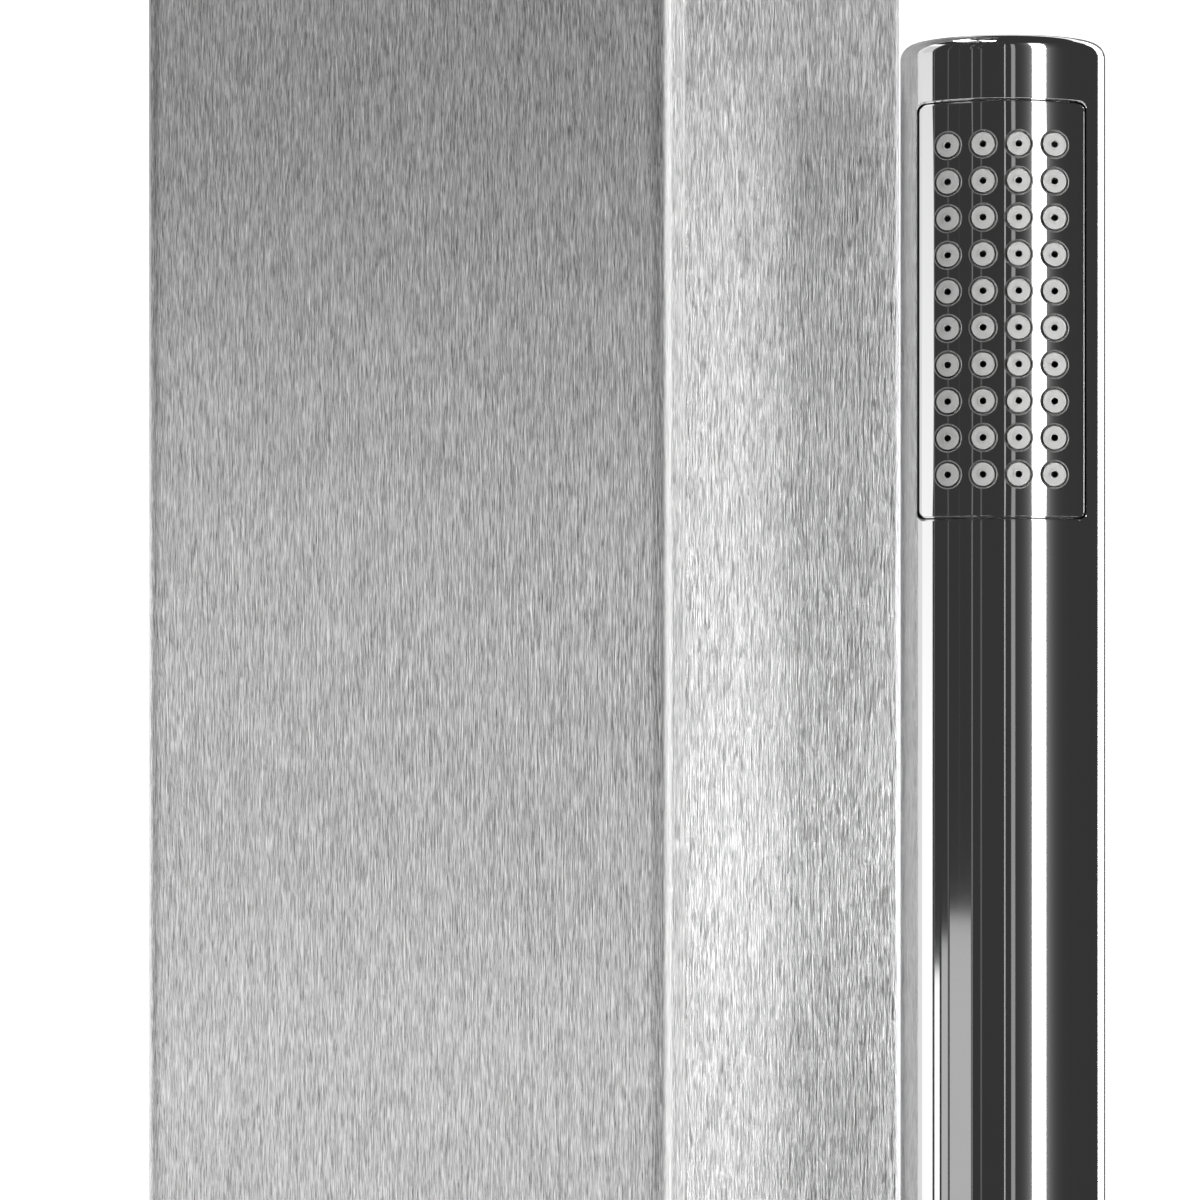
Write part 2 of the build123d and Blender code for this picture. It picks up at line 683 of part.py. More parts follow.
def riser_elbow():
    """Turns the riser forwards into the arm's nipple."""
    start_y = front_y(-SHEET) + ARM_NUT_H
    outer = PIPE_THREAD_R + ELBOW_WALL
    body = rod(outer, (0, start_y, ARM_UP), REAR, SOCKET_STUB_R - start_y)
    body += rod(SOCKET_STUB_R, (0, 0, ARM_UP), DOWN, RISER_ELBOW_DROP)
    nipple_end = front_y(-SHEET) + ARM_NIPPLE_INSIDE
    body -= rod(PIPE_THREAD_R + THREAD_GAP, (0, start_y, ARM_UP), REAR, nipple_end - start_y)
    body -= rod(WATER_R, (0, start_y, ARM_UP), REAR, -start_y)
    body -= rod(WATER_R, (0, 0, ARM_UP), DOWN, RISER_ELBOW_DROP)
    return body - rod(PIPE_R + PIPE_GAP, (0, 0, ARM_UP - RISER_ELBOW_DROP), UP, PIPE_INSERT)


# Ball joint. Distances are from the ball's centre


def ball_centre():
    rise = math.sqrt(BALL_R**2 - BALL_NECK_R**2)
    drop = ARM_HEIGHT / 2 + ARM_SHOULDER_H + BALL_COLLAR_H + BALL_NECK_LENGTH + rise
    return 0, front_y(ARM_REACH), ARM_UP - drop


def ball_cavity_r():
    return BALL_R + BALL_GAP + BALL_RING_T + BALL_GAP


def head_ball_stud():
    x, y, z = ball_centre()
    top = ARM_UP - ARM_HEIGHT / 2 - ARM_SHOULDER_H
    collar = rod(BALL_COLLAR_R, (x, y, top), DOWN, BALL_COLLAR_H)
    collar = chamfer(rim_edges(collar, BALL_COLLAR_R), PLATE_CHAMFER)
    stud = Pos(x, y, z) * Sphere(BALL_R) + rod(BALL_NECK_R, (x, y, z), UP, top - z) + collar
    stud -= rod(PIPE_THREAD_R + THREAD_GAP, (x, y, top), DOWN, ARM_OUTLET_LENGTH)
    return stud - rod(BALL_BORE_R, (x, y, top), DOWN, top - z + BALL_R)


def head_ball_ring():
    """A slippery ring between the ball and the nut, round both inside and outside."""
    inner, outer = BALL_R + BALL_GAP, BALL_R + BALL_GAP + BALL_RING_T
    zone = Box(3 * outer, 3 * outer, 2 * BALL_RING_HALF_H)
    return Pos(*ball_centre()) * ((Sphere(outer) - Sphere(inner)) & zone)


def head_ball_nut():
    """The fluted ring nut that clamps the slide ring round the ball."""
    low = (0, 0, -BALL_NUT_DROP)
    collar = rod(BALL_NUT_R, low, UP, BALL_NUT_DROP + BALL_NUT_RISE)
    collar = chamfer(edge_at(collar, BALL_NUT_R, Axis.Z), PLATE_CHAMFER)
    collar -= rod(HUB_NECK_R + THREAD_GAP, low, UP, BALL_NUT_DROP + HUB_NECK_RISE + BALL_GAP)
    collar -= Sphere(ball_cavity_r())
    for turn in range(BALL_NUT_FLUTES):
        angle = 2 * math.pi * turn / BALL_NUT_FLUTES
        place = (BALL_NUT_R * math.cos(angle), BALL_NUT_R * math.sin(angle), -BALL_NUT_DROP)
        collar -= rod(BALL_NUT_FLUTE_R, place, UP, BALL_NUT_DROP + BALL_NUT_RISE - 2 * PLATE_CHAMFER)
    return Pos(*ball_centre()) * collar


def seal_ring(radius):
    """The round section of the ball's seal, swept round the ball."""
    angle = math.radians(BALL_SEAL_ANGLE)
    reach = BALL_R + BALL_GAP + BALL_SEAL_R
    section = Plane.XZ * Pos(reach * math.cos(angle), -reach * math.sin(angle)) * Circle(radius)
    return revolve(section, Axis.Z)


def head_ball_seal():
    return Pos(*ball_centre()) * seal_ring(BALL_SEAL_R)


def head_hub():
    hub = turned(
        [
            (0, -HUB_DROP),
            (HUB_FLANGE_R, -HUB_DROP),
            (HUB_FLANGE_R, -HUB_DROP + HUB_FLANGE_H),
            (HUB_NECK_R, -HUB_CONE_TOP_DROP),
            (HUB_NECK_R, HUB_NECK_RISE),
            (0, HUB_NECK_RISE),
        ],
        (0, 0, 0),
        UP,
    )
    hub -= Sphere(ball_cavity_r())
    hub -= seal_ring(BALL_SEAL_R + THREAD_GAP)
    hub -= rod(WATER_R, (0, 0, 0), DOWN, HUB_DROP)
    return Pos(*ball_centre()) * hub


# Rain head


def head_levels():
    """The Z of the head's top face, of its ceiling, of the spray plate's top and of its underside."""
    top = ball_centre()[2] - HUB_DROP
    underside = top - HEAD_HEIGHT
    return top, top - HEAD_WALL, underside + HEAD_PLATE_T, underside


def head_screw_points():
    reach = HEAD_SIDE / 2 - HEAD_WALL - HEAD_SCREW_INSET + HEAD_POST_R
    return [(x, y) for x in (-reach, 0, reach) for y in (-reach, 0, reach) if (x, y) != (0, 0)]


def head_nozzle_points():
    first = -(HEAD_NOZZLES - 1) / 2
    places = [(first + n) * HEAD_NOZZLE_PITCH for n in range(HEAD_NOZZLES)]
    return [(x, y) for x in places for y in places]


def head_mat_side():
    return (HEAD_NOZZLES - 1) * HEAD_NOZZLE_PITCH + 2 * HEAD_MAT_MARGIN


def head_top_shell():
    x, y, _ = ball_centre()
    top, ceiling, plate_top, underside = head_levels()
    pan = extrude(RectangleRounded(HEAD_SIDE, HEAD_SIDE, HEAD_CORNER), top - underside)
    pan = fillet(pan.faces().sort_by(Axis.Z)[-1].edges(), HEAD_EDGE_FILLET)
    inside = HEAD_SIDE - 2 * HEAD_WALL
    pan -= extrude(RectangleRounded(inside, inside, HEAD_CORNER - HEAD_WALL), ceiling - underside)
    for px, py in head_screw_points():
        post = rod(HEAD_POST_R, (px, py, plate_top - underside), UP, ceiling - plate_top)
        pan += post - rod(HEAD_SCREW_R + THREAD_GAP, (px, py, 0), UP, ceiling - underside)
    pan -= rod(WATER_R, (0, 0, 0), UP, HEAD_HEIGHT)
    return Pos(x, y, underside) * pan


def head_spray_plate():
    x, y, _ = ball_centre()
    underside = head_levels()[3]
    side = HEAD_SIDE - 2 * HEAD_WALL - 2 * HEAD_PLATE_GAP
    outline = RectangleRounded(side, side, HEAD_CORNER - HEAD_WALL)
    nozzle_hole = Circle(HEAD_NOZZLE_R + HEAD_NOZZLE_GAP)
    screw_hole = Circle(HEAD_SCREW_R + HOLE_GAP)
    outline -= Sketch() + [Pos(px, py) * nozzle_hole for px, py in head_nozzle_points()]
    outline -= Sketch() + [Pos(px, py) * screw_hole for px, py in head_screw_points()]
    return Pos(x, y, underside) * extrude(outline, HEAD_PLATE_T)


def head_nozzle_mat():
    x, y, _ = ball_centre()
    plate_top = head_levels()[2]
    side = head_mat_side()
    mat = extrude(RectangleRounded(side, side, HEAD_CORNER), HEAD_MAT_T)
    reach = HEAD_PLATE_T + HEAD_NOZZLE_OUT
    nozzle = turned(
        [
            (0, 0),
            (HEAD_NOZZLE_R, 0),
            (HEAD_NOZZLE_R, HEAD_PLATE_T),
            (HEAD_NOZZLE_TIP_R, reach),
            (0, reach),
        ],
        (0, 0, 0),
        DOWN,
    )
    hole = rod(HEAD_NOZZLE_HOLE_R, (0, 0, HEAD_MAT_T), DOWN, HEAD_MAT_T + reach)
    mat += [Pos(px, py, 0) * nozzle for px, py in head_nozzle_points()]
    mat -= [Pos(px, py, 0) * hole for px, py in head_nozzle_points()]
    return Pos(x, y, plate_top) * mat


def head_gasket():
    x, y, _ = ball_centre()
    _, ceiling, plate_top, _ = head_levels()
    inner = head_mat_side() + 2 * HEAD_GASKET_GAP
    outer = inner + 2 * HEAD_GASKET_W
    frame = RectangleRounded(outer, outer, HEAD_CORNER + HEAD_GASKET_W)
    frame -= RectangleRounded(inner, inner, HEAD_CORNER)
    return Pos(x, y, plate_top) * extrude(frame, ceiling - plate_top)


def head_screws():
    x, y, _ = ball_centre()
    _, ceiling, plate_top, underside = head_levels()
    length = ceiling - underside - HEAD_WALL
    return [
        screw(HEAD_SCREW_R, length, HEAD_SCREW_HEAD_R, HEAD_SCREW_HEAD_H, (x + px, y + py, underside), UP)
        for px, py in head_screw_points()
    ]


# Mixer. Its pivot is on the handle's axis, in front of the cartridge


def mixer_neck_r():
    return MIXER_CARTRIDGE_R + CARTRIDGE_GAP + MIXER_NECK_WALL


def mixer_pivot():
    return 0, front_y(MIXER_PIVOT_OUT), MIXER_UP


def mixer_body():
    inside = front_y(-SHEET)
    body = rod(MIXER_BODY_R, (0, inside, MIXER_UP), REAR, MIXER_BODY_LENGTH)
    body += rod(mixer_neck_r(), (0, inside, MIXER_UP), FRONT, SHEET + MIXER_NECK_OUT)
    for x in inlet_points():
        body += rod(SOCKET_STUB_R, (x, 0, MIXER_UP), DOWN, MIXER_STUB_REACH)
    body += rod(SOCKET_STUB_R, (0, 0, MIXER_UP), UP, MIXER_OUTLET_REACH)
    bore = MIXER_CARTRIDGE_R + CARTRIDGE_GAP
    body -= rod(bore, (0, front_y(MIXER_NECK_OUT), MIXER_UP), REAR, MIXER_NECK_OUT + MIXER_CARTRIDGE_LENGTH)
    for x in inlet_points():
        socket = (x, 0, MIXER_UP - MIXER_STUB_REACH)
        body -= rod(PIPE_R + PIPE_GAP, socket, UP, PIPE_INSERT)
        body -= rod(PIPE_R - PIPE_WALL, socket, UP, MIXER_STUB_REACH)
    outlet = (0, 0, MIXER_UP + MIXER_OUTLET_REACH)
    body -= rod(PIPE_R + PIPE_GAP, outlet, DOWN, PIPE_INSERT)
    return body - rod(PIPE_R - PIPE_WALL, outlet, DOWN, MIXER_OUTLET_REACH)


def mixer_cartridge():
    start = (0, front_y(-MIXER_CARTRIDGE_LENGTH), MIXER_UP)
    shoulder = (0, front_y(0), MIXER_UP)
    barrel = rod(MIXER_CARTRIDGE_R, start, FRONT, MIXER_CARTRIDGE_LENGTH)
    return barrel + rod(MIXER_CARTRIDGE_NOSE_R, shoulder, FRONT, MIXER_CARTRIDGE_NOSE)


def mixer_retaining_nut():
    inner = MIXER_CARTRIDGE_NOSE_R + CARTRIDGE_GAP
    return pipe(MIXER_CARTRIDGE_R, inner, (0, front_y(0), MIXER_UP), FRONT, MIXER_NUT_H)


def rosette(radius, hole, seat, outwards):
    """A round cover disc with a softened rim, flat on the column."""
    disc = rod(radius, seat, outwards, ROSETTE_T)
    rim = rim_edges(disc, radius).sort_by(Axis(seat, outwards))[-1]
    return fillet(rim, ROSETTE_FILLET) - rod(hole, seat, outwards, ROSETTE_T)


def mixer_rosette():
    return rosette(MIXER_ROSETTE_R, mixer_neck_r() + THREAD_GAP, (0, front_y(0), MIXER_UP), FRONT)


def mixer_dome():
    """A sleeve round the neck that ends in a ball about the pivot, with a hole for the stem."""
    pivot = mixer_pivot()
    seat = (0, front_y(ROSETTE_T), MIXER_UP)
    outer = rod(MIXER_DOME_R, seat, FRONT, MIXER_PIVOT_OUT - ROSETTE_T) + Pos(*pivot) * Sphere(MIXER_DOME_R)
    outer -= rod(2 * MIXER_DOME_R, seat, REAR, 2 * MIXER_DOME_R)
    inner_r = MIXER_DOME_R - MIXER_DOME_WALL
    hollow = rod(inner_r, seat, FRONT, MIXER_PIVOT_OUT - ROSETTE_T) + Pos(*pivot) * Sphere(inner_r)
    hollow += rod(mixer_neck_r() + THREAD_GAP, seat, FRONT, MIXER_NECK_OUT - ROSETTE_T)
    return outer - hollow - rod(MIXER_DOME_OPENING_R, pivot, FRONT, 2 * MIXER_DOME_R)


def mixer_rotor():
    """Turns on the cartridge. Its two ears carry the pin that the stem tilts on."""
    x, y, z = mixer_pivot()
    base_y = front_y(MIXER_CARTRIDGE_NOSE)
    rotor = rod(MIXER_ROTOR_R, (x, base_y, z), FRONT, MIXER_ROTOR_T)
    inner = MIXER_ROOT_HALF_W + MIXER_EAR_GAP
    for side in (-1, 1):
        near, far = sorted((side * inner, side * (inner + MIXER_EAR_T)))
        rotor += block((near, y, z - MIXER_ROOT_R), (far, base_y - MIXER_ROTOR_T, z + MIXER_ROOT_R))
        rotor += rod(MIXER_ROOT_R, (near, y, z), RIGHT, MIXER_EAR_T)
    reach = inner + MIXER_EAR_T
    return rotor + rod(MIXER_PIN_R, (-reach, y, z), RIGHT, 2 * reach)


def mixer_stem():
    pivot = mixer_pivot()
    x, y, z = pivot
    stem = rod(MIXER_ROOT_R, (-MIXER_ROOT_HALF_W, y, z), RIGHT, 2 * MIXER_ROOT_HALF_W)
    stem += rod(MIXER_STEM_R, pivot, FRONT, MIXER_STEM_REACH)
    tip = (x, y - MIXER_STEM_REACH, z)
    stem -= rod(MIXER_SCREW_R + THREAD_GAP, tip, REAR, MIXER_SCREW_LENGTH)
    return stem - rod(MIXER_PIN_R + THREAD_GAP, (-MIXER_DOME_R, y, z), RIGHT, 2 * MIXER_DOME_R)


def mixer_cap_radii():
    inner = MIXER_DOME_R + MIXER_CAP_GAP
    return inner, inner + MIXER_CAP_WALL


def lever_direction():
    angle = math.radians(MIXER_LEVER_ANGLE)
    return 0, -math.cos(angle), -math.sin(angle)


def mixer_handle():
    """A cap that slides round the dome, with a boss on the stem."""
    x, y, z = mixer_pivot()
    inner, outer = mixer_cap_radii()
    keep = Pos(0, -MIXER_CAP_EDGE_OUT - 2 * outer, 0) * Box(4 * outer, 4 * outer, 4 * outer)
    cap = (Sphere(outer) - Sphere(inner)) & keep
    boss_length = inner - MIXER_BOSS_REACH + MIXER_CAP_WALL / 2
    cap += rod(MIXER_BOSS_R, (0, -MIXER_BOSS_REACH, 0), FRONT, boss_length)
    cap -= rod(MIXER_STEM_R + THREAD_GAP, (0, 0, 0), FRONT, MIXER_STEM_REACH + THREAD_GAP)
    cap -= rod(MIXER_SCREW_R + HOLE_GAP, (0, 0, 0), FRONT, 2 * outer)
    cap -= rod(MIXER_SCREW_HEAD_R + HOLE_GAP, (0, -inner, 0), FRONT, 2 * outer)
    direction = lever_direction()
    start = tuple((outer - MIXER_LEVER_EMBED) * c for c in direction)
    cap -= rod(MIXER_LEVER_R + THREAD_GAP, start, direction, MIXER_CAP_WALL)
    return Pos(x, y, z) * cap


def mixer_handle_screw():
    x, y, z = mixer_pivot()
    inner = mixer_cap_radii()[0]
    seat = (x, y - inner, z)
    shank = inner - MIXER_STEM_REACH + MIXER_SCREW_LENGTH - MIXER_SCREW_TIP_GAP
    head = rod(MIXER_SCREW_HEAD_R, seat, FRONT, MIXER_SCREW_HEAD_H)
    return head + rod(MIXER_SCREW_R, seat, REAR, shank)


def mixer_index_button():
    """The plug that covers the handle's screw."""
    x, y, z = mixer_pivot()
    start = (x, y - mixer_cap_radii()[0] - MIXER_SCREW_HEAD_H - THREAD_GAP, z)
    return rod(MIXER_SCREW_HEAD_R + HOLE_GAP - THREAD_GAP, start, FRONT, MIXER_BUTTON_T)


def mixer_lever():
    x, y, z = mixer_pivot()
    outer = mixer_cap_radii()[1]
    direction = lever_direction()
    start = tuple(p + (outer - MIXER_LEVER_EMBED) * c for p, c in zip((x, y, z), direction))
    bar = rod(MIXER_LEVER_R, start, direction, MIXER_LEVER_LENGTH)
    tip = rim_edges(bar, MIXER_LEVER_R).sort_by(Axis(start, direction))[-1]
    return fillet(tip, MIXER_LEVER_R * TIP_ROUND_SHARE)


# Diverter


def diverter_body():
    inside = front_y(-SHEET)
    body = rod(DIVERTER_BODY_R, (0, inside, DIVERTER_UP), REAR, DIVERTER_BODY_LENGTH)
    body += rod(DIVERTER_NECK_R, (0, inside, DIVERTER_UP), FRONT, SHEET + DIVERTER_NECK_OUT)
    stubs = (UP, DOWN, RIGHT)
    for direction in stubs:
        body += rod(SOCKET_STUB_R, (0, 0, DIVERTER_UP), direction, DIVERTER_STUB_REACH)
    bore_end = DIVERTER_NECK_OUT + DIVERTER_CARTRIDGE_LENGTH
    bore = DIVERTER_CARTRIDGE_R + CARTRIDGE_GAP
    body -= rod(bore, (0, front_y(DIVERTER_NECK_OUT), DIVERTER_UP), REAR, bore_end)
    for direction in stubs:
        mouth = tuple(c * DIVERTER_STUB_REACH for c in direction)
        mouth = (mouth[0], mouth[1], mouth[2] + DIVERTER_UP)
        back = tuple(-c for c in direction)
        body -= rod(PIPE_R + PIPE_GAP, mouth, back, PIPE_INSERT)
        body -= rod(PIPE_R - PIPE_WALL, mouth, back, DIVERTER_STUB_REACH)
    return body


def diverter_cartridge():
    start = (0, front_y(DIVERTER_NECK_OUT - DIVERTER_CARTRIDGE_LENGTH), DIVERTER_UP)
    barrel = rod(DIVERTER_CARTRIDGE_R, start, FRONT, DIVERTER_CARTRIDGE_LENGTH)
    well = (0, front_y(DIVERTER_NECK_OUT), DIVERTER_UP)
    depth = DIVERTER_NECK_OUT + DIVERTER_SPINDLE_IN + THREAD_GAP
    return barrel - rod(DIVERTER_SPINDLE_R + THREAD_GAP, well, REAR, depth)


def diverter_rosette():
    return rosette(DIVERTER_ROSETTE_R, DIVERTER_NECK_R + THREAD_GAP, (0, front_y(0), DIVERTER_UP), FRONT)


def diverter_spindle():
    start = (0, front_y(-DIVERTER_SPINDLE_IN), DIVERTER_UP)
    return rod(DIVERTER_SPINDLE_R, start, FRONT, DIVERTER_SPINDLE_LENGTH)


def knob_back():
    return ROSETTE_T + DIVERTER_KNOB_STANDOFF


def knob_grip_depth():
    """Halfway along the solid front part of the knob."""
    return (knob_back() + DIVERTER_KNOB_CAVITY + DIVERTER_SPINDLE_LENGTH - DIVERTER_SPINDLE_IN) / 2


def diverter_knob():
    seat = (0, front_y(knob_back()), DIVERTER_UP)
    knob = rod(DIVERTER_KNOB_R, seat, FRONT, DIVERTER_KNOB_LENGTH)
    knob = fillet(edge_at(knob, DIVERTER_KNOB_R, Axis.Y, last=False), DIVERTER_KNOB_FILLET)
    knob -= rod(DIVERTER_KNOB_CAVITY_R, seat, FRONT, DIVERTER_KNOB_CAVITY)
    spindle_end = DIVERTER_SPINDLE_LENGTH - DIVERTER_SPINDLE_IN + THREAD_GAP
    knob -= rod(DIVERTER_SPINDLE_R + THREAD_GAP, seat, FRONT, spindle_end - knob_back())
    grip = (0, front_y(knob_grip_depth()), DIVERTER_UP)
    pin_hole = (0, grip[1], DIVERTER_UP - DIVERTER_KNOB_R + DIVERTER_PIN_EMBED)
    knob -= rod(DIVERTER_PIN_R + THREAD_GAP, pin_hole, DOWN, DIVERTER_KNOB_R)
    return knob - rod(DIVERTER_GRUB_R + THREAD_GAP, grip, UP, 2 * DIVERTER_KNOB_R)


def diverter_pin():
    start = (0, front_y(knob_grip_depth()), DIVERTER_UP - DIVERTER_KNOB_R + DIVERTER_PIN_EMBED)
    pin = rod(DIVERTER_PIN_R, start, DOWN, DIVERTER_PIN_EMBED + DIVERTER_PIN_OUT)
    return fillet(edge_at(pin, DIVERTER_PIN_R, Axis.Z, last=False), DIVERTER_PIN_R * TIP_ROUND_SHARE)


def diverter_grub_screw():
    start = (0, front_y(knob_grip_depth()), DIVERTER_UP + DIVERTER_SPINDLE_R + THREAD_GAP)
    grub = rod(DIVERTER_GRUB_R, start, UP, DIVERTER_GRUB_LENGTH)
    top = (start[0], start[1], start[2] + DIVERTER_GRUB_LENGTH)
    return grub - hexagon(DIVERTER_GRUB_R * RECESS_R_SHARE, top, DOWN, DIVERTER_GRUB_RECESS)


# Hose outlet


def outlet_elbow():
    """Comes out of the right side and turns down to a hose thread under the handset."""
    corner = (HANDSET_X, 0, DIVERTER_UP)
    wall_x = HALF_WIDTH - SHEET - OUTLET_NIPPLE_INSIDE
    rosette_x = HALF_WIDTH + ROSETTE_T
    body = rod(WALL_THREAD_R, (wall_x, 0, DIVERTER_UP), RIGHT, rosette_x - wall_x)
    body += rod(OUTLET_ELBOW_R, (rosette_x, 0, DIVERTER_UP), RIGHT, HANDSET_X - rosette_x)
    body += Pos(*corner) * Sphere(OUTLET_ELBOW_R)
    body += rod(OUTLET_ELBOW_R, corner, DOWN, OUTLET_DROP)
    thread = rod(PIPE_THREAD_R, (HANDSET_X, 0, DIVERTER_UP - OUTLET_DROP), DOWN, PIPE_THREAD_LENGTH)
    body += chamfer(edge_at(thread, PIPE_THREAD_R, Axis.Z, last=False), THREAD_CHAMFER)
    body -= rod(PIPE_R - PIPE_WALL, (wall_x, 0, DIVERTER_UP), RIGHT, HANDSET_X - wall_x)
    body -= rod(PIPE_R - PIPE_WALL, corner, DOWN, OUTLET_DROP + PIPE_THREAD_LENGTH)
    return body - rod(PIPE_R + PIPE_GAP, (wall_x, 0, DIVERTER_UP), RIGHT, PIPE_INSERT)


def outlet_rosette():
    return rosette(OUTLET_ROSETTE_R, WALL_THREAD_R + HOLE_GAP, (HALF_WIDTH, 0, DIVERTER_UP), RIGHT)


def outlet_locknut():
    start = (HALF_WIDTH - SHEET, 0, DIVERTER_UP)
    return nut(LOCKNUT_R, WALL_THREAD_R + THREAD_GAP, start, LEFT, LOCKNUT_H)


# Handset holder. It tilts about an axis square to the column's side


def holder_washer_x():
    return HALF_WIDTH + HOLDER_BASE_T + HOLDER_STUB_LENGTH


def holder_hub_x():
    return holder_washer_x() + HOLDER_WASHER_T


def holder_liner_radii():
    inner = HANDSET_R + HOLDER_FIT
    return inner, inner + HOLDER_LINER_WALL


def holder_bore_r():
    return holder_liner_radii()[1] + THREAD_GAP


def holder_seat():
    """The Z of the lip that the handset stands on."""
    return HOLDER_UP - HOLDER_SEAT_DROP


def holder_bolt_places():
    return [-HOLDER_BOLT_HALF_PITCH, HOLDER_BOLT_HALF_PITCH]


def holder_base():
    length = HOLDER_BASE_T + HOLDER_STUB_LENGTH
    disc = rod(HOLDER_BASE_R, (HALF_WIDTH, 0, HOLDER_UP), RIGHT, HOLDER_BASE_T)
    disc = fillet(edge_at(disc, HOLDER_BASE_R, Axis.X), HOLDER_BASE_FILLET)
    disc += rod(HOLDER_STUB_R, (HALF_WIDTH, 0, HOLDER_UP), RIGHT, length)
    floor = (HALF_WIDTH + HOLDER_SCREW_FLOOR, 0, HOLDER_UP)
    disc -= rod(HOLDER_SCREW_R + THREAD_GAP, floor, RIGHT, length)
    for y in holder_bolt_places():
        start = (HALF_WIDTH, y, HOLDER_UP)
        disc -= rod(HOLDER_BOLT_R + THREAD_GAP, start, RIGHT, HOLDER_BOLT_REACH + THREAD_GAP)
    return disc


def holder_bolts():
    return [
        screw(
            HOLDER_BOLT_R,
            SHEET + HOLDER_BOLT_REACH,
            HOLDER_BOLT_HEAD_R,
            HOLDER_BOLT_HEAD_H,
            (HALF_WIDTH - SHEET, y, HOLDER_UP),
            RIGHT,
        )
        for y in holder_bolt_places()
    ]


def holder_washer():
    start = (holder_washer_x(), 0, HOLDER_UP)
    return pipe(HOLDER_STUB_R, HOLDER_SCREW_R + HOLE_GAP, start, RIGHT, HOLDER_WASHER_T)


def holder_slot_cut():
    """The slot that lets the hose out of the ring, away from the column."""
    low = (HANDSET_X, -HOLDER_SLOT / 2, HOLDER_UP - HOLDER_RING_HEIGHT)
    high = (HANDSET_X + 3 * HANDSET_R, HOLDER_SLOT / 2, HOLDER_UP + HOLDER_RING_HEIGHT)
    return block(low, high)


def holder_screw_seat():
    """Where the pivot screw's head sits, sunk in the ring's bore."""
    return HANDSET_X - holder_bore_r() - HOLDER_SCREW_HEAD_H - HOLDER_FIT, 0, HOLDER_UP


def holder_ring():
    low = HOLDER_UP - HOLDER_RING_HEIGHT / 2
    outer = holder_bore_r() + HOLDER_RING_WALL
    body = rod(outer, (HANDSET_X, 0, low), UP, HOLDER_RING_HEIGHT)
    body = chamfer(rim_edges(body, outer), PLATE_CHAMFER)
    body += rod(HOLDER_HUB_R, (holder_hub_x(), 0, HOLDER_UP), RIGHT, HANDSET_X - holder_hub_x())
    floor = holder_seat() - HOLDER_LIP_T
    body -= rod(holder_bore_r(), (HANDSET_X, 0, floor), UP, HOLDER_RING_HEIGHT)
    body -= rod(holder_bore_r() - HOLDER_LIP_W, (HANDSET_X, 0, low), UP, HOLDER_RING_HEIGHT)
    body -= rod(HOLDER_SCREW_R + HOLE_GAP, (holder_hub_x(), 0, HOLDER_UP), RIGHT, HANDSET_STANDOFF)
    body -= rod(HOLDER_SCREW_HEAD_R + HOLE_GAP, holder_screw_seat(), RIGHT, HANDSET_STANDOFF)
    return body - holder_slot_cut()


def holder_screw():
    """Holds the ring on its base and lets it turn."""
    seat = holder_screw_seat()
    length = seat[0] - HALF_WIDTH - HOLDER_SCREW_FLOOR - HOLDER_SCREW_TIP_GAP
    head = rod(HOLDER_SCREW_HEAD_R, seat, RIGHT, HOLDER_SCREW_HEAD_H)
    return head + rod(HOLDER_SCREW_R, seat, LEFT, length)


def holder_liner():
    inner, outer = holder_liner_radii()
    low = holder_seat() - HOLDER_LIP_T
    height = HOLDER_UP + HOLDER_RING_HEIGHT / 2 - low
    sleeve = rod(outer, (HANDSET_X, 0, low), UP, height)
    sleeve -= rod(inner, (HANDSET_X, 0, holder_seat()), UP, height)
    sleeve -= rod(inner - HOLDER_LIP_W, (HANDSET_X, 0, low), UP, height)
    return sleeve - holder_slot_cut()


# Stick handset. Made upright with its foot at the origin, then turned and placed


def placed(shape):
    return Pos(HANDSET_X, 0, HANDSET_FOOT) * Rot(0, 0, HANDSET_TURN) * shape


def spray_levels():
    high = HANDSET_LENGTH - SPRAY_TOP
    return high - SPRAY_HEIGHT, high


def spray_window(gap):
    """The block that the spray plate fills, smaller by a gap on each side."""
    low, high = spray_levels()
    window = block(
        (-SPRAY_HALF_WIDTH + gap, -2 * HANDSET_R, low + gap),
        (SPRAY_HALF_WIDTH - gap, 0, high - gap),
    )
    return fillet(window.edges().filter_by(Axis.Y), SPRAY_CORNER)


def spray_pins(radius):
    """A rod through each nozzle's place, from the handset's axis forwards."""
    low, high = spray_levels()
    columns = [(n - (SPRAY_COLUMNS - 1) / 2) * SPRAY_COLUMN_PITCH for n in range(SPRAY_COLUMNS)]
    rows = [(low + high) / 2 + (n - (SPRAY_ROWS - 1) / 2) * SPRAY_ROW_PITCH for n in range(SPRAY_ROWS)]
    return [rod(radius, (x, 0, z), FRONT, 2 * HANDSET_R) for z in rows for x in columns]


def spray_shell(outer, inner):
    """A tube round the handset's axis, as high as the spray window."""
    low, high = spray_levels()
    return pipe(outer, inner, (0, 0, low), UP, high - low)


def outside_face(solid):
    """The largest of its faces that lie on the handset's round outside."""
    rounds = solid.faces().filter_by(GeomType.CYLINDER)
    rounds = rounds.filter_by(lambda face: abs(face.radius - HANDSET_R) < SAME_RADIUS)
    return rounds.sort_by(SortBy.AREA)[-1]


def handset_body():
    body = rod(HANDSET_R, (0, 0, 0), UP, HANDSET_LENGTH)
    body = fillet(edge_at(body, HANDSET_R, Axis.Z), HANDSET_TOP_FILLET)
    body -= rod(HANDSET_BORE_R, (0, 0, 0), UP, HANDSET_LENGTH - HANDSET_TOP_T)
    body -= spray_window(0)
    window_edges = [edge for wire in outside_face(body).inner_wires() for edge in wire.edges()]
    return placed(chamfer(window_edges, SPRAY_EDGE_CHAMFER))


